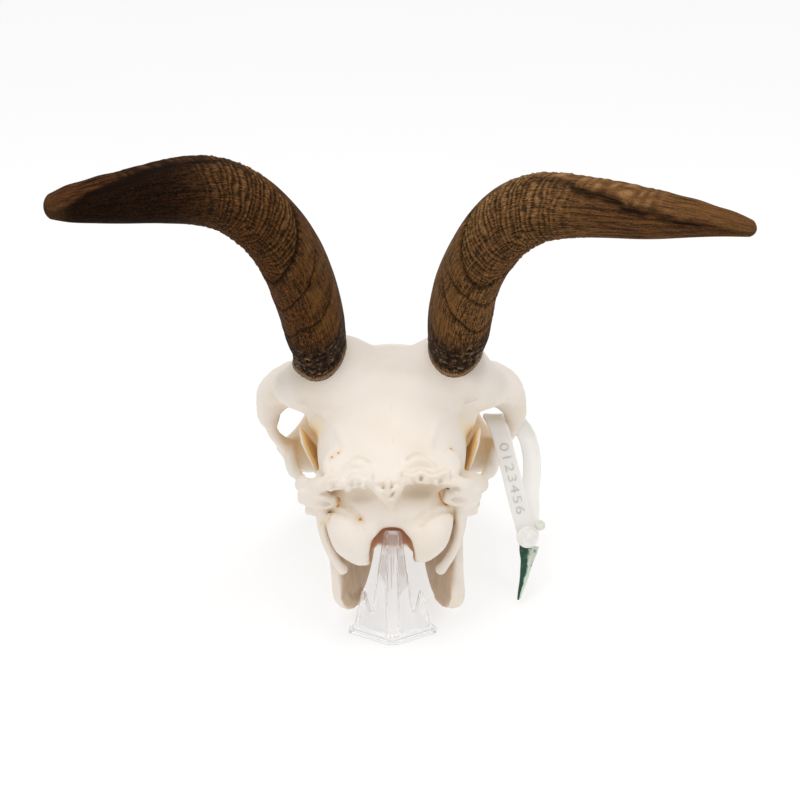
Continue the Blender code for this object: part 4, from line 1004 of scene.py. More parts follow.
    # screw hole with a frayed rim
    hs, hf = HOLES[side]
    (c0, _, _), ra0, rb0 = curve(np.array([hs]))
    dist = np.hypot(s - hs, (fd - hf) * math.pi / 180 * 17.0)
    turn_ = np.arctan2((fd - hf) * math.pi / 180 * 17.0, s - hs)
    fray = 0.30 * np.sin(3 * turn_ + 0.8) + 0.22 * np.sin(7 * turn_ + 2.0) + 0.12 * np.sin(13 * turn_)
    lift -= 2.6 * (1 - step(dist - fray * 0.7, 0.55, 1.15))
    lift += 0.26 * np.exp(-((dist - 1.55 - fray) / 0.45) ** 2)
    # keep the bumps away from the very tip and inside the CAD size
    lift = lift * (1 - step(s, total - 12, total)) - 0.28
    pos, nrm = skin(s, f, lift)
    # a lip that turns in under the foot and down into the bone
    inner = []
    base_s, base_f = s[0], f[0]
    for dl, ds in ((-0.9, -0.35), (-1.9, -0.6), (-2.6, -3.5)):
        q, _ = skin(np.maximum(base_s + ds, 0.5), base_f, lift[0] + dl)
        inner.append(q)
    rings = np.concatenate([np.stack(inner[::-1]), pos])
    m = len(rings)
    verts = rings.reshape(-1, 3)
    ii, jj = np.meshgrid(np.arange(m - 1), np.arange(nf), indexing='ij')
    a = ii * nf + jj
    b = ii * nf + (jj + 1) % nf
    quads = np.stack([a, b, b + nf, a + nf], -1).reshape(-1, 4)
    if sg < 0:
        quads = quads[:, ::-1]
    foot, end = verts[:nf].mean(0), verts[-nf:].mean(0)
    verts = np.vstack([verts, foot, end])
    tri = []
    k0, k1 = len(verts) - 2, len(verts) - 1
    for j in range(nf):
        n2 = (j + 1) % nf
        t0 = (n2, j, k0)
        t1 = ((m - 1) * nf + j, (m - 1) * nf + n2, k1)
        tri.append(t0 if sg > 0 else t0[::-1])
        tri.append(t1 if sg > 0 else t1[::-1])
    me = bpy.data.meshes.new("horn_sheath_" + side)
    faces = quads.tolist() + [list(q) for q in tri]
    me.from_pydata(world(verts).tolist(), [], faces)
    me.update()
    me.validate()
    ob = bpy.data.objects.new("horn_sheath_" + side, me)
    bpy.context.scene.collection.objects.link(ob)
    me.shade_smooth()

    def full(x):
        low_rows = np.repeat(x[:1], 3, axis=0)
        return np.concatenate([low_rows, x]).reshape(-1).tolist() + [float(x[0].mean()),
                                                                    float(x[-1].mean())]

    attr(ob, "along", full(s))
    attr(ob, "rise", full(rise))
    # crest: lighter worn ridge tops, partly painted highlight that is stronger towards the keel
    attr(ob, "crest", full(np.clip(amp * crest * bead * strong * (0.55 + 0.45 * np.cos(f)) + keel_on * lump * (0.26 + 0.20 * np.sin(f * 11 + s * 0.4)), 0, 1)))
    # painted shade in the valleys between crests
    attr(ob, "valley_shade", full(np.clip(amp * (1 - wave) ** 1.3, 0, 1)))
    attr(ob, "strip", full(strip))
    attr(ob, "under", full(under))
    attr(ob, "groove", full(dark))
    attr(ob, "inside", full(step(fd, 55, 95) * (1 - step(fd, 140, 178)) * (1 - step(s, 78, 100))
                            * step(rise, 6, 22)))
    attr(ob, "back", full(step(fd, 120, 170) * (1 - step(fd, 300, 330))))
    # the hole's dark colour is painted shade
    attr(ob, "hole", full(1 - step(dist - fray * 0.7, 0.7, 1.3)))
    attr(ob, "fray", full(np.exp(-((dist - 1.7 - fray) / 0.5) ** 2) * (0.45 + 0.55 * np.sin(turn_ * 2 + 1))))
    attr(ob, "cosf", full(np.cos(f) * 9))
    attr(ob, "sinf", full(np.sin(f) * 9))
    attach(ob, "root")
    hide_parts("horn_" + side)
    return ob


horns = {side: horn(side) for side in ("right", "left")}


# ================================================================ easel
def polygon_distance(px, pz, outline):
    """Signed distance to a closed outline, negative inside."""
    best = np.full(np.broadcast(px, pz).shape, 1e9)
    inside = np.zeros(best.shape, bool)
    n = len(outline)
    for i in range(n):
        (ax, az), (bx, bz) = outline[i], outline[(i + 1) % n]
        ex, ez = bx - ax, bz - az
        wx, wz = px - ax, pz - az
        t = np.clip((wx * ex + wz * ez) / (ex * ex + ez * ez), 0, 1)
        best = np.minimum(best, np.hypot(wx - t * ex, wz - t * ez))
        cross = ((az <= pz) != (bz <= pz)) & (px < (bx - ax) * (pz - az) / (bz - az + 1e-12) + ax)
        inside ^= cross
    return np.where(inside, -best, best)


def easel():
    h = 0.34
    f = Field((-21, -1, -2), (22, 18, 56), h)
    x, y, z = f.ax[0][:, None, None] - 0.4, f.ax[1][None, :, None] - 1.9, f.ax[2][None, None, :]
    ang = math.radians(33)
    for sx in (1, -1):
        reach = x * sx * math.cos(ang) + y * math.sin(ang)
        off = -x * sx * math.sin(ang) + y * math.cos(ang)
        reach, off, zz = np.broadcast_arrays(reach, off, z)
        wing = polygon_distance(reach, zz, [(-3, 0.5), (20.6, 0.5), (19.2, 4.8), (15.5, 21.3),
                                            (15.0, 22.0), (14.2, 21.8), (12.0, 13.6), (11.0, 12.6),
                                            (10.0, 13.4), (4.3, 52.2), (3.2, 53.6), (-3, 53.6)])
        thick = 1.15 - 0.35 * np.clip(zz / 51.6, 0, 1)
        d = np.maximum(wing, np.abs(off) - thick)
        f.v = np.minimum(f.v, d.astype(np.float32))
        rim = polygon_distance(reach, zz, [(-3, 0.0), (21.6, 0.0), (21.6, 2.9), (-3, 2.9)])
        d = np.maximum(rim, np.abs(off) - 2.4)
        f.v = smin(f.v, d.astype(np.float32), 0.5)
    # folded spine bar, thicker towards the foot
    bar = np.maximum(np.maximum(np.abs(x) - (2.0 - 0.012 * z), np.abs(y - 0.55) - 1.55),
                     np.abs(z - 26.8) - 26.8)
    f.v = smin(f.v, np.broadcast_to(bar, f.v.shape).astype(np.float32), 0.4)
    f.v = np.maximum(f.v, np.broadcast_to((0.35 - 1.9) - y, f.v.shape).astype(np.float32))
    f.v = np.maximum(f.v, np.broadcast_to(-z, f.v.shape).astype(np.float32))
    pos, quads = main_body(*f.mesh())
    pos[:, 2] = np.clip(pos[:, 2], 0.0, 53.6)
    ob = make("plate_easel", pos, quads)
    soften(ob, 2, 0.4)
    thin_out(ob, 120000)
    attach(ob, "root")
    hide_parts("easel")
    return ob


easel_ob = easel()


# ================================================================ tag
STRAP = [(60.2, 48.9, 27.6), (59.0, 52.2, 33.0), (56.2, 58.0, 42.0), (53.2, 65.0, 52.8),
         (50.4, 71.6, 62.2), (48.6, 76.8, 67.6), (46.8, 81.6, 69.6), (45.6, 89.0, 69.2),
         (46.8, 97.0, 66.8), (51.4, 102.8, 63.4), (57.6, 105.2, 59.4), (62.2, 102.6, 54.0),
         (64.2, 95.4, 48.2), (64.2, 86.0, 42.2), (63.0, 76.0, 37.4), (62.6, 66.0, 33.0),
         (62.0, 57.0, 29.8), (61.6, 52.2, 27.6)]


def strap_line():
    p = through([(*q, 0, 0) for q in STRAP], 14)[:, :3]
    tan = np.gradient(p, axis=0)
    tan /= np.linalg.norm(tan, axis=1)[:, None]
    wide = np.array([1.0, 0, 0]) - tan * tan[:, :1]
    wide /= np.linalg.norm(wide, axis=1)[:, None]
    out = np.cross(wide, tan)
    return p, tan, wide, out


def strap():
    p, tan, wide, out = strap_line()
    w, hh = 4.15, 0.5
    # rounded rectangle with a shallow raised border on both faces
    prof = [(-w, -0.30), (-w + 0.25, -hh), (-w + 0.85, -hh), (-w + 1.1, -hh + 0.1),
            (w - 1.1, -hh + 0.1), (w - 0.85, -hh), (w - 0.25, -hh), (w, -0.30),
            (w, 0.30), (w - 0.25, hh), (w - 0.85, hh), (w - 1.1, hh - 0.1),
            (-w + 1.1, hh - 0.1), (-w + 0.85, hh), (-w + 0.25, hh), (-w, 0.30)]
    n = len(prof)
    rings = np.stack([p + wide * u + out * v for u, v in prof], 1)
    verts = rings.reshape(-1, 3)
    m = len(p)
    faces = []
    for i in range(m - 1):
        for j in range(n):
            k = (j + 1) % n
            faces.append((i * n + j, i * n + k, (i + 1) * n + k, (i + 1) * n + j))
    faces.append(tuple(range(n))[::-1])
    faces.append(tuple((m - 1) * n + j for j in range(n)))
    me = bpy.data.meshes.new("strap_band")
    me.from_pydata(world(verts).tolist(), [], faces)
    bm = bmesh.new()
    bm.from_mesh(me)
    bmesh.ops.recalc_face_normals(bm, faces=bm.faces)
    bm.to_mesh(me)
    bm.free()
    me.update()
    ob = bpy.data.objects.new("strap_band", me)
    bpy.context.scene.collection.objects.link(ob)
    me.shade_smooth()
    me.set_sharp_from_angle(angle=math.radians(40))
    across = np.tile(np.array([u for u, _ in prof]), m)
    attr(ob, "across", across)
    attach(ob, "root")
    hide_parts("tag_strap")
    # plain raised counting digits along the near run
    s_of = np.concatenate([[0], np.cumsum(np.linalg.norm(np.diff(p, axis=0), axis=1))])
    font = bpy.data.curves.new("digits", 'FONT')
    font.body = "6543210"[::-1]
    font.size = 1.0
    font.extrude = 0.02
    font.offset = 0.0
    font.space_character = 1.15
    tmp = bpy.data.objects.new("digits_tmp", font)
    bpy.context.scene.collection.objects.link(tmp)
    dep = bpy.context.evaluated_depsgraph_get()
    dm = bpy.data.meshes.new_from_object(tmp.evaluated_get(dep))
    bpy.data.objects.remove(tmp, do_unlink=True)
    co = np.array([v.co for v in dm.vertices])
    lo, hi = co.min(0), co.max(0)
    # text x runs down the strap from the top fold, text y runs across it
    length, tall = 33.0, 4.0
    u = (co[:, 0] - lo[0]) / (hi[0] - lo[0])
    v = (co[:, 1] - lo[1]) / (hi[1] - lo[1]) - 0.5
    s_here = 44.0 - u * length
    q = np.stack([np.interp(s_here, s_of, p[:, i]) for i in range(3)], 1)
    wv = np.stack([np.interp(s_here, s_of, wide[:, i]) for i in range(3)], 1)
    ov = np.stack([np.interp(s_here, s_of, out[:, i]) for i in range(3)], 1)
    z = (co[:, 2] - lo[2]) / max(hi[2] - lo[2], 1e-6)
    sign = -1.0 if np.dot(out[20], [0, -1, 0.4]) < 0 else 1.0
    q = q + wv * (v * tall * 1.0)[:, None] + ov * (sign * (0.33 + z * 0.12))[:, None]
    dm.vertices.foreach_set("co", world(q).astype(np.float32).ravel())
    dm.update()
    digits = bpy.data.objects.new("strap_digits", dm)
    bpy.context.scene.collection.objects.link(digits)
    bm = bmesh.new()
    bm.from_mesh(dm)
    bmesh.ops.remove_doubles(bm, verts=bm.verts, dist=1e-7)
    bmesh.ops.recalc_face_normals(bm, faces=bm.faces)
    bm.to_mesh(dm)
    bm.free()
    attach(digits, "root")
    return ob, digits


def lathe(name, centre, axis, prof, seg=56):
    """Turned piece from (radius, height) steps, first and last on the axis."""
    rot = np.array(Vector((0, 0, 1)).rotation_difference(Vector(axis)).to_matrix())
    rings = []
    for r, hgt in prof[1:-1]:
        a = np.linspace(0, 2 * math.pi, seg, endpoint=False)
        rings.append(np.stack([r * np.cos(a), r * np.sin(a), np.full(seg, hgt)], 1))
    verts = np.concatenate(rings + [np.array([[0, 0, prof[0][1]], [0, 0, prof[-1][1]]])])
    verts = verts @ rot.T + np.array(centre)
    m = len(rings)
    faces = []
    for i in range(m - 1):
        for j in range(seg):
            k = (j + 1) % seg
            faces.append((i * seg + j, i * seg + k, (i + 1) * seg + k, (i + 1) * seg + j))
    for j in range(seg):
        k = (j + 1) % seg
        faces.append((k, j, m * seg))
        faces.append(((m - 1) * seg + j, (m - 1) * seg + k, m * seg + 1))
    me = bpy.data.meshes.new(name)
    me.from_pydata(world(verts).tolist(), [], faces)
    me.update()
    ob = bpy.data.objects.new(name, me)
    bpy.context.scene.collection.objects.link(ob)
    me.shade_smooth()
    me.set_sharp_from_angle(angle=math.radians(38))
    return ob


def tag_lock():
    facing = (0.05, -0.83, 0.55)
    at = (60.4, 46.7, 29.0)
    button = lathe("lock_button", at, facing,
                   [(0, -1.2), (4.3, -1.2), (4.65, -1.05), (4.8, -0.75), (4.8, 0.55), (4.65, 0.9),
                    (4.3, 1.08), (3.9, 1.1), (3.7, 1.0), (3.5, 0.82), (1.5, 0.8), (1.35, 1.0),
                    (1.1, 1.12), (0, 1.15)])
    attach(button, "root")
    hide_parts("tag_button")
    knob = lathe("lock_knob", (65.9, 48.8, 33.9), (0.35, -0.7, 0.6),
                 [(0, -1.9), (1.2, -1.8), (1.9, -1.3), (2.25, -0.6), (2.4, 0.0), (2.35, 0.6),
                  (2.1, 1.0), (1.7, 1.25), (1.1, 1.3), (0.9, 1.1), (0, 1.1)], seg=40)
    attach(knob, "root")
    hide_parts("tag_knob")
    return button, knob


def tail():
    rows = through([(61.4, 49.6, 23.6, 4.4, 0.55), (60.9, 48.2, 20.5, 3.9, 0.55),
                    (60.4, 46.6, 17.4, 2.9, 0.55), (59.6, 44.4, 14.0, 2.3, 0.52),
                    (58.8, 42.0, 10.5, 1.8, 0.5), (57.8, 39.8, 7.4, 1.35, 0.48),
                    (57.0, 38.0, 5.0, 1.0, 0.45), (56.4, 36.6, 2.9, 0.6, 0.4)], 6)
    pts = rows[:, :3]
    _, fa, fb = section_frames(pts, (1, 0, 0))
    # blade with a thick spine on one side and a thin web on the other
    prof = [(-1.0, 0.0), (-0.92, 0.75), (-0.7, 1.0), (-0.45, 0.95), (-0.3, 0.45), (0.3, 0.38),
            (0.8, 0.35), (0.97, 0.2), (1.0, 0.0), (0.97, -0.2), (0.8, -0.35), (0.3, -0.38),
            (-0.3, -0.45), (-0.45, -0.95), (-0.7, -1.0), (-0.92, -0.75)]
    n = len(prof)
    verts = np.stack([pts + fa * (rows[:, 3] * u)[:, None] + fb * (rows[:, 4] * v)[:, None]
                      for u, v in prof], 1).reshape(-1, 3)
    m = len(pts)
    faces = []
    for i in range(m - 1):
        for j in range(n):
            k = (j + 1) % n
            faces.append((i * n + j, i * n + k, (i + 1) * n + k, (i + 1) * n + j))
    faces.append(tuple(range(n))[::-1])
    faces.append(tuple((m - 1) * n + j for j in range(n)))
    me = bpy.data.meshes.new("lock_tail")
    me.from_pydata(world(verts).tolist(), [], faces)
    bm = bmesh.new()
    bm.from_mesh(me)
    bmesh.ops.recalc_face_normals(bm, faces=bm.faces)
    bm.to_mesh(me)
    bm.free()
    me.update()
    ob = bpy.data.objects.new("lock_tail", me)
    bpy.context.scene.collection.objects.link(ob)
    me.shade_smooth()
    me.set_sharp_from_angle(angle=math.radians(45))
    attr(ob, "across", np.tile(np.array([u for u, _ in prof]), m))
    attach(ob, "root")
    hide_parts("tag_tail")
    return ob


band, digits = strap()
button, knob = tag_lock()
tail_ob = tail()


# ================================================================ materials
def srgb(r, g, b):
    out = []
    for c in (r, g, b):
        c /= 255.0
        out.append(c / 12.92 if c <= 0.04045 else ((c + 0.055) / 1.055) ** 2.4)
    return (*out, 1.0)


class Nodes:
    """Short hand for building a node material."""

    def __init__(self, name):
        self.mat = bpy.data.materials.new(name)
        self.mat.use_nodes = True
        self.t = self.mat.node_tree
        self.bsdf = self.t.nodes["Principled BSDF"]

    def link(self, a, b):
        self.t.links.new(a, b)

    def _in(self, sock, val):
        if isinstance(val, bpy.types.NodeSocket):
            self.link(val, sock)
        elif val is not None:
            sock.default_value = val

    def attr(self, name):
        n = self.t.nodes.new("ShaderNodeAttribute")
        n.attribute_name = name
        return n.outputs["Fac"]

    def place(self, scale=1000.0):
        n = self.t.nodes.new("ShaderNodeTexCoord")
        return n.outputs["Object"]

    def noise(self, scale, detail=3.0, rough=0.55, vec=None, distortion=0.0):
        n = self.t.nodes.new("ShaderNodeTexNoise")
        n.inputs["Scale"].default_value = scale
        n.inputs["Detail"].default_value = detail
        n.inputs["Roughness"].default_value = rough
        n.inputs["Distortion"].default_value = distortion
        self.link(vec if vec is not None else self.place(), n.inputs["Vector"])
        return n.outputs["Fac"]

    def voronoi(self, scale, vec=None, feature='F1', rand=1.0):
        n = self.t.nodes.new("ShaderNodeTexVoronoi")
        n.feature = feature
        n.inputs["Scale"].default_value = scale
        n.inputs["Randomness"].default_value = rand
        self.link(vec if vec is not None else self.place(), n.inputs["Vector"])
        return n.outputs["Distance"]

    def math(self, op, a, b=None, c=None, clamp=False):
        n = self.t.nodes.new("ShaderNodeMath")
        n.operation = op
        n.use_clamp = clamp
        self._in(n.inputs[0], a)
        self._in(n.inputs[1], b)
        self._in(n.inputs[2], c)
        return n.outputs[0]

    def remap(self, v, a, b, c=0.0, d=1.0, smooth=True):
        n = self.t.nodes.new("ShaderNodeMapRange")
        n.interpolation_type = 'SMOOTHSTEP' if smooth else 'LINEAR'
        n.clamp = True
        self._in(n.inputs["Value"], v)
        for key, val in (("From Min", a), ("From Max", b), ("To Min", c), ("To Max", d)):
            self._in(n.inputs[key], val)
        return n.outputs["Result"]

    def mix(self, fac, a, b, mode='MIX'):
        n = self.t.nodes.new("ShaderNodeMix")
        n.data_type = 'RGBA'
        n.blend_type = mode
        n.clamp_factor = True
        self._in(n.inputs[0], fac)
        self._in(n.inputs[6], a)
        self._in(n.inputs[7], b)
        return n.outputs[2]

    def vec(self, x, y, z):
        n = self.t.nodes.new("ShaderNodeCombineXYZ")
        self._in(n.inputs[0], x)
        self._in(n.inputs[1], y)
        self._in(n.inputs[2], z)
        return n.outputs[0]

    def bump(self, height, strength=0.5, distance=0.0005, normal=None):
        n = self.t.nodes.new("ShaderNodeBump")
        n.inputs["Strength"].default_value = strength
        n.inputs["Distance"].default_value = distance
        self.link(height, n.inputs["Height"])
        if normal is not None:
            self.link(normal, n.inputs["Normal"])
        return n.outputs["Normal"]

    def out(self, **kw):
        names = {"color": "Base Color", "rough": "Roughness", "normal": "Normal",
                 "sss": "Subsurface Weight", "ior": "IOR", "trans": "Transmission Weight",
                 "alpha": "Alpha", "spec": "Specular IOR Level", "coat": "Coat Weight"}
        for k, v in kw.items():
            self._in(self.bsdf.inputs[names[k]], v)
        return self.mat


def wear(ob, mat):
    ob.data.materials.clear()
    ob.data.materials.append(mat)


def bone_material(name, skull):
    m = Nodes(name)
    big = m.noise(38, 3, 0.5)
    mid = m.noise(160, 4, 0.6)
    fine = m.noise(900, 4, 0.65)
    near, wide = m.attr("near"), m.attr("wide")
    cream, warm = srgb(242, 232, 221), srgb(233, 219, 198)
    tan, painted_warm_light, umber = srgb(208, 180, 144), srgb(255, 226, 166), srgb(150, 112, 80)
    c = m.mix(m.remap(big, 0.42, 0.68), cream, srgb(238, 227, 212))
    # painted shade: warmer, tan and darker colour where the bone is closed in
    c = m.mix(m.remap(m.math('ADD', near, m.math('MULTIPLY', mid, 0.12)), 0.40, 0.62), c, warm)
    c = m.mix(m.remap(near, 0.46, 0.70, 0.0, 0.9), c, tan)
    c = m.mix(m.remap(wide, 0.36, 0.62, 0.0, 0.75), c, srgb(222, 198, 164))
    if skull:
        # painted warm light on the shaded inner walls of the temporal openings
        g = m.math('MULTIPLY', m.attr("painted_warm_light"), m.remap(m.math('ADD', wide, m.math('MULTIPLY', big, 0.1)),
                                                        0.22, 0.40))
        c = m.mix(m.math('MULTIPLY', g, 0.95), c, painted_warm_light)
        # painted shade on the side-facing orbit floor walls
        c = m.mix(m.math('MULTIPLY', m.attr("orbit_wall_shade"), 0.6), c, srgb(232, 204, 164))
        # painted shade and warm light inside the braincase, orange towards the top of the vault
        c = m.mix(m.math('MULTIPLY', m.attr("core"), 0.95), c,
                  m.mix(m.attr("vault"), srgb(216, 172, 128), srgb(232, 132, 40)))
        # painted shadow under the nuchal lip
        c = m.mix(m.math('MULTIPLY', m.attr("hollow"), 0.62), c, srgb(188, 160, 126))
        wig = m.noise(420, 3, 0.6)
        seam = m.math('ADD', m.attr("seam"), m.math('MULTIPLY', m.math('SUBTRACT', wig, 0.5), 2.4))
        thin = m.remap(m.math('ABSOLUTE', seam), 0.10, 0.42, 1.0, 0.0)
        c = m.mix(m.math('MULTIPLY', thin, 0.30), c, srgb(222, 196, 160))
        crack = m.math('ADD', m.attr("crack"), m.math('MULTIPLY', m.math('SUBTRACT', wig, 0.5), 0.9))
        line = m.remap(crack, 0.15, 0.62, 1.0, 0.0)
        halo = m.remap(m.attr("crack"), 0.2, 2.4, 0.45, 0.0)
        c = m.mix(halo, c, srgb(236, 200, 150))
        c = m.mix(m.math('MULTIPLY', line, 0.9), c, srgb(196, 128, 62))
    else:
        inner = m.attr("inner")
        # painted shade: tan on the jaw's inner faces and where it is closed in
        c = m.mix(m.math('MULTIPLY', inner, 0.8), c, m.mix(m.remap(mid, 0.35, 0.65), srgb(206, 176, 140),
                                                            srgb(188, 156, 120)))
        c = m.mix(m.math('MULTIPLY', m.remap(wide, 0.22, 0.5), 0.5), c, srgb(196, 164, 128))
        c = m.mix(m.math('MULTIPLY', m.attr("painted_warm_light"), 0.95), c, srgb(242, 204, 142))
    tooth = m.attr("tooth")
    enamel = m.mix(m.remap(m.noise(420, 3, 0.6, distortion=0.6), 0.46, 0.72), srgb(236, 226, 204),
                   srgb(190, 164, 126))
    c = m.mix(m.math('MULTIPLY', tooth, 0.85), c, enamel)
    speck = m.remap(m.voronoi(260), 0.03, 0.10, 1.0, 0.0)
    c = m.mix(m.math('MULTIPLY', speck, m.remap(mid, 0.56, 0.7, 0.0, 0.35)), c, umber)
    pores = m.remap(m.voronoi(1500), 0.05, 0.3)
    h = m.math('ADD', m.math('MULTIPLY', fine, 0.5), m.math('MULTIPLY', mid, 0.8))
    h = m.math('ADD', h, m.math('MULTIPLY', pores, 0.12))
    if skull:
        h = m.math('SUBTRACT', h, m.math('MULTIPLY', thin, 0.35))
        h = m.math('SUBTRACT', h, m.math('MULTIPLY', line, 1.2))
    rough = m.remap(fine, 0.3, 0.7, 0.42, 0.60)
    if skull:
        rough = m.math('MAXIMUM', rough, m.attr("core"))
    m.out(color=c, rough=rough,
          normal=m.bump(h, 0.32, 0.0004), sss=0.06)
    m.bsdf.inputs["Subsurface Radius"].default_value = (1.0, 0.8, 0.6)
    m.bsdf.inputs["Subsurface Scale"].default_value = 0.0015
    m.bsdf.inputs["Specular IOR Level"].default_value = 0.2
    return m.mat


def horn_material(name, dark_side):
    m = Nodes(name)
    along, rise = m.attr("along"), m.attr("rise")
    cs, sn = m.attr("cosf"), m.attr("sinf")
    # coordinates that run with the horn: slow along it, quick round it
    v1 = m.vec(m.math('MULTIPLY', cs, 0.9), m.math('MULTIPLY', sn, 0.9), m.math('MULTIPLY', along, 0.055))
    v2 = m.vec(cs, sn, m.math('MULTIPLY', along, 0.12))
    v3 = m.vec(m.math('MULTIPLY', cs, 0.25), m.math('MULTIPLY', sn, 0.25), m.math('MULTIPLY', along, 1.0))
    fibre = m.noise(2.6, 6, 0.68, v1)
    fine = m.noise(7.5, 5, 0.7, v2)
    patch = m.noise(0.11, 3, 0.55, m.vec(cs, sn, along))
    bands = m.noise(0.55, 4, 0.6, v3)
    crest, valley_shade = m.attr("crest"), m.attr("valley_shade")
    if dark_side:
        base, deep, tan = srgb(98, 58, 26), srgb(17, 8, 4), srgb(186, 138, 86)
        far_a, far_b = srgb(24, 10, 5), srgb(5, 2, 2)
        strip_c = srgb(54, 27, 11)
    else:
        base, deep, tan = srgb(130, 88, 48), srgb(22, 11, 6), srgb(208, 162, 108)
        far_a, far_b = srgb(104, 68, 38), srgb(52, 32, 17)
        strip_c = srgb(140, 98, 58)
    c = m.mix(m.remap(fibre, 0.42, 0.57), deep, base)
    c = m.mix(m.remap(fine, 0.50, 0.66, 0.0, 0.50), c, tan)
    c = m.mix(m.remap(fine, 0.36, 0.47, 0.75, 0.0), c, deep)
    c = m.mix(m.remap(bands, 0.42, 0.68, 0.0, 0.35), c, deep)
    hatch = m.noise(1.7, 4, 0.65, v3)
    c = m.mix(m.remap(hatch, 0.52, 0.66, 0.0, 0.45), c, deep)
    # outer part of the horn
    far = m.remap(along, 118, 168)
    streak = m.noise(0.8, 4, 0.6, v1)
    fc = m.mix(m.remap(m.math('ADD', m.math('MULTIPLY', fibre, 0.5), m.math('MULTIPLY', streak, 0.5)), 0.44, 0.56),
               far_b, far_a)
    fc = m.mix(m.remap(fine, 0.55, 0.70, 0.0, 0.12 if dark_side else 0.40), fc, tan)
    c = m.mix(m.math('MULTIPLY', far, 0.9), c, fc)
    # golden inner face
    c = m.mix(m.math('MULTIPLY', m.attr("inside"), m.remap(patch, 0.38, 0.62, 0.10, 0.6)), c,
              m.mix(m.remap(fibre, 0.35, 0.65), srgb(98, 66, 34), srgb(136, 96, 50)))
    # crests and valleys: crest tops lighter from wear and partly painted highlight, painted shade in the valleys
    c = m.mix(m.math('MULTIPLY', valley_shade, m.remap(fibre, 0.36, 0.62, 0.80, 0.45)), c, deep)
    c = m.mix(m.math('MINIMUM', m.math('MULTIPLY', crest, m.remap(fine, 0.40, 0.60, 0.30, 1.6)), 0.92), c, tan)
    st = m.attr("strip")
    sc = m.mix(m.remap(fibre, 0.36, 0.64), m.mix(0.45, strip_c, deep), strip_c)
    if dark_side:
        sc = m.mix(m.remap(along, 168, 194), sc, m.mix(m.remap(fibre, 0.40, 0.60), srgb(52, 28, 13), srgb(120, 78, 46)))
    c = m.mix(m.math('MULTIPLY', st, m.remap(fine, 0.40, 0.56, 0.15, 0.85)), c, sc)
    c = m.mix(m.math('MULTIPLY', st, m.remap(m.noise(1.1, 4, 0.6, v1), 0.54, 0.66, 0.0, 0.7)), c, deep)
    # lighter worn crest tops on the keel strip, partly painted highlight
    c = m.mix(m.math('MULTIPLY', m.math('MULTIPLY', st, crest), m.remap(fine, 0.40, 0.58, 0.10, 0.85)), c, tan)
    # painted shade in the groove under the keel strip
    c = m.mix(m.math('MULTIPLY', m.attr("under"), m.remap(m.noise(0.9, 4, 0.6, v1), 0.40, 0.64, 0.98, 0.50)), c, srgb(24, 13, 7))
    # painted shade in the growth grooves
    c = m.mix(m.math('MULTIPLY', m.attr("groove"), m.remap(fine, 0.36, 0.62, 1.0, 0.65)), c, srgb(14, 8, 5))
    # foot: black band with grey scuffs, then a thin tan rim
    jag = m.math('MULTIPLY', m.math('SUBTRACT', m.noise(1.2, 3, 0.6, v2), 0.5), 8.0)
    r2 = m.math('ADD', rise, jag)
    lay = m.noise(1.0, 4, 0.6, m.vec(m.math('MULTIPLY', cs, 0.45), m.math('MULTIPLY', sn, 0.45),
                                     m.math('MULTIPLY', rise, 0.55)))
    band = m.math('MULTIPLY', m.remap(r2, 2.6, 4.6), m.remap(r2, 17.0, 27.0, 1.0, 0.0))
    c = m.mix(m.math('MULTIPLY', band, m.remap(lay, 0.40, 0.62, 0.97, 0.55)), c, srgb(26, 18, 15))
    scuff = m.math('MULTIPLY', m.remap(m.noise(1.3, 7, 0.78, m.vec(m.math('MULTIPLY', cs, 0.9),
                   m.math('MULTIPLY', sn, 0.9), m.math('MULTIPLY', along, 0.55))), 0.52, 0.62),
                   m.math('MULTIPLY', m.remap(r2, 1.5, 4.0), m.remap(r2, 15.0, 26.0, 1.0, 0.0)))
    c = m.mix(m.math('MULTIPLY', scuff, m.remap(lay, 0.42, 0.58, 0.15, 0.85)), c, srgb(150, 126, 104))
    c = m.mix(m.math('MULTIPLY', m.math('MULTIPLY', m.remap(lay, 0.55, 0.66), m.remap(r2, 9.0, 15.0, 1.0, 0.0)),
                     m.remap(fine, 0.38, 0.58, 0.2, 0.8)), c, srgb(168, 142, 118))
    rim = m.remap(m.math('ADD', rise, m.math('MULTIPLY', jag, 0.18)), 1.6, 3.4, 1.0, 0.0)
    c = m.mix(m.math('MULTIPLY', rim, 0.8), c, m.mix(m.remap(fine, 0.38, 0.58), srgb(90, 60, 40),
                                                    srgb(188, 154, 122)))
    edge = m.remap(rise, 0.25, 0.9, 1.0, 0.0)
    c = m.mix(m.math('MULTIPLY', edge, 0.85), c, srgb(48, 30, 20))
    c = m.mix(m.math('MULTIPLY', m.attr("fray"), 0.6), c, srgb(172, 132, 96))
    # painted shade inside the screw hole
    c = m.mix(m.attr("hole"), c, srgb(10, 7, 6))
    # blunt tan tip
    end = m.remap(m.math('ADD', along, m.math('MULTIPLY', m.math('SUBTRACT', patch, 0.5), 8.0)),
                  201.0 if dark_side else 210.0, 214.0 if dark_side else 221.0)
    c = m.mix(m.math('MULTIPLY', end, m.remap(fine, 0.40, 0.60, 0.10, 0.40)), c, srgb(128, 92, 58))
    ring = m.noise(2.2, 3, 0.6, v3)
    h = m.math('ADD', m.math('MULTIPLY', fibre, 0.8), m.math('MULTIPLY', fine, 0.7))
    h = m.math('ADD', h, m.math('MULTIPLY', ring, 0.5))
    m.out(color=c, rough=m.remap(fine, 0.3, 0.7, 0.50, 0.72), normal=m.bump(h, 0.75, 0.0006))
    m.bsdf.inputs["Specular IOR Level"].default_value = 0.03
    return m.mat


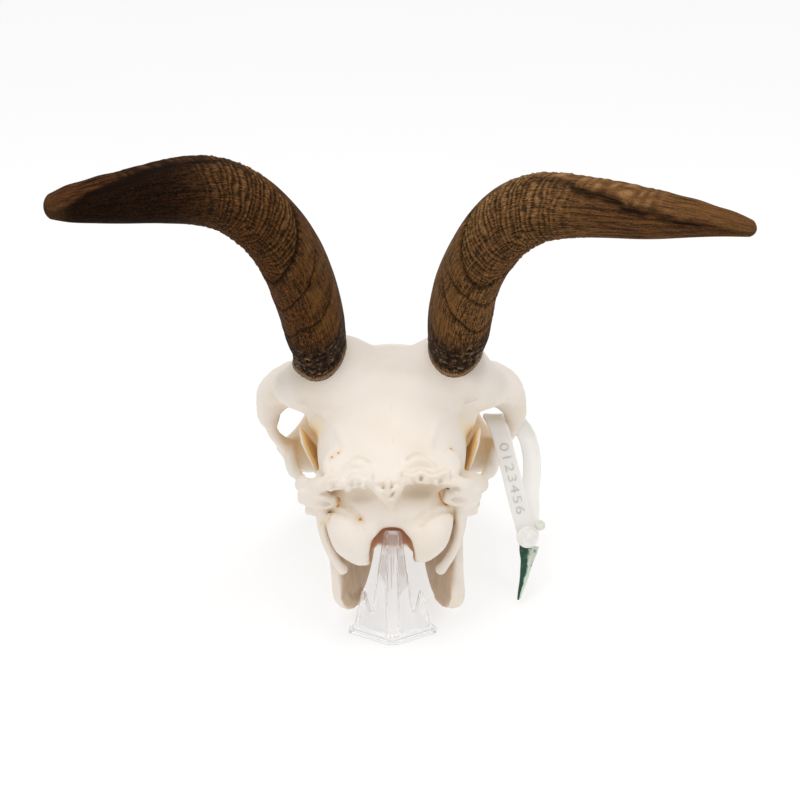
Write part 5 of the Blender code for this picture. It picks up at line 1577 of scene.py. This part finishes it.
def clear_material():
    m = Nodes("clear_plastic_look")
    haze = m.noise(90, 3, 0.6)
    scratch = m.noise(1400, 2, 0.5)
    m.out(color=m.mix(m.remap(haze, 0.4, 0.7), (0.97, 0.97, 0.98, 1), (0.93, 0.93, 0.95, 1)),
          rough=m.remap(haze, 0.3, 0.7, 0.03, 0.08), trans=1.0, alpha=0.42,
          normal=m.bump(scratch, 0.05, 0.0002))
    m.bsdf.inputs["IOR"].default_value = 1.46
    return m.mat


def strap_material(name, tint, deep, rough=(0.30, 0.45), sss=0.25, scale=220):
    m = Nodes(name)
    a = m.noise(scale, 3, 0.55)
    b = m.noise(scale * 7, 3, 0.6)
    m.out(color=m.mix(m.remap(a, 0.35, 0.7), tint, deep), rough=m.remap(b, 0.3, 0.7, *rough),
          normal=m.bump(m.math('ADD', a, m.math('MULTIPLY', b, 0.4)), 0.08, 0.0002), sss=sss)
    m.bsdf.inputs["Subsurface Radius"].default_value = (1.0, 1.0, 0.95)
    m.bsdf.inputs["Subsurface Scale"].default_value = 0.002
    m.bsdf.inputs["IOR"].default_value = 1.48
    return m.mat


def tail_material():
    m = Nodes("tail_look")
    across = m.attr("across")
    n = m.noise(260, 4, 0.6)
    streak = m.math('ADD', across, m.math('MULTIPLY', m.math('SUBTRACT', n, 0.5), 1.5))
    c = m.mix(m.remap(streak, 0.05, 0.40), srgb(20, 72, 54), srgb(214, 224, 208))
    c = m.mix(m.remap(m.noise(420, 3, 0.6), 0.55, 0.7, 0.0, 0.6), c, srgb(70, 118, 92))
    m.out(color=c, rough=m.remap(n, 0.3, 0.7, 0.32, 0.5), normal=m.bump(n, 0.12, 0.0003))
    return m.mat


wear(cran, bone_material("bone_look", True))
jaw_look = bone_material("jaw_look", False)
for ob in jaws.values():
    wear(ob, jaw_look)
wear(horns["right"], horn_material("horn_brown_look", False))
wear(horns["left"], horn_material("horn_dark_look", True))
wear(easel_ob, clear_material())
white = strap_material("strap_look", srgb(242, 241, 238), srgb(238, 237, 233), scale=60)
wear(band, white)
wear(digits, strap_material("digit_look", srgb(222, 219, 213), srgb(206, 202, 195), scale=500))
wear(button, strap_material("button_look", srgb(244, 243, 240), srgb(234, 232, 228), scale=300))
wear(knob, strap_material("knob_look", srgb(232, 232, 220), srgb(214, 216, 202), scale=400))
wear(tail_ob, tail_material())


# ================================================================ floor, light, camera
def floor():
    me = bpy.data.meshes.new("floor")
    r = 9.0
    n = 24
    verts, faces = [], []
    for i in range(n + 1):
        for j in range(n + 1):
            verts.append((-r + 2 * r * i / n, -r + 2 * r * j / n, 0.0))
    for i in range(n):
        for j in range(n):
            a = i * (n + 1) + j
            faces.append((a, a + n + 1, a + n + 2, a + 1))
    me.from_pydata(verts, [], faces)
    ob = bpy.data.objects.new("floor", me)
    bpy.context.scene.collection.objects.link(ob)
    m = Nodes("floor_look")
    n1 = m.noise(6, 3, 0.5)
    m.out(color=m.mix(n1, (0.34, 0.34, 0.34, 1), (0.36, 0.36, 0.36, 1)), rough=0.9)
    m.bsdf.inputs["Emission Color"].default_value = (1.0, 1.0, 1.0, 1)
    m.bsdf.inputs["Emission Strength"].default_value = 0.68
    m.bsdf.inputs["Specular IOR Level"].default_value = 0.1
    wear(ob, m.mat)


def light(name, at, aim, size, power, colour=(1, 1, 1)):
    d = bpy.data.lights.new(name, 'AREA')
    d.shape = 'DISK'
    d.size = size
    d.energy = power
    d.color = colour
    ob = bpy.data.objects.new(name, d)
    ob.location = at
    ob.rotation_euler = (Vector(aim) - Vector(at)).to_track_quat('-Z', 'Y').to_euler()
    bpy.context.scene.collection.objects.link(ob)


floor()
w = bpy.data.worlds.new("studio")
w.use_nodes = True
w.node_tree.nodes["Background"].inputs["Color"].default_value = (1.0, 1.0, 1.0, 1)
w.node_tree.nodes["Background"].inputs["Strength"].default_value = 0.60
bpy.context.scene.world = w
light("key", (-0.45, -0.75, 1.45), (0, -0.04, 0.08), 0.6, 4.4, (1.0, 0.985, 0.975))
light("fill", (0.8, -0.6, 1.2), (0, -0.04, 0.08), 0.8, 1.8, (0.98, 0.99, 1.0))
light("top", (0.0, -0.1, 1.5), (0, 0, 0.1), 0.7, 6.4)
bpy.context.scene.view_settings.view_transform = 'Standard'

PITCH = math.radians(23.0)
target = np.array([3.6, 45.0, 96.1])
look = np.array([0.0, math.cos(PITCH), -math.sin(PITCH)])
cam = bpy.data.cameras.new("camera")
cam.sensor_width = 36.0
cam.lens = 2185.0 / 800.0 * 36.0
cam.clip_start, cam.clip_end = 0.01, 100.0
cob = bpy.data.objects.new("camera", cam)
cob.location = world(target - look * 945.0)
cob.rotation_euler = (math.radians(90) - PITCH, 0, 0)
bpy.context.scene.collection.objects.link(cob)
bpy.context.scene.camera = cob

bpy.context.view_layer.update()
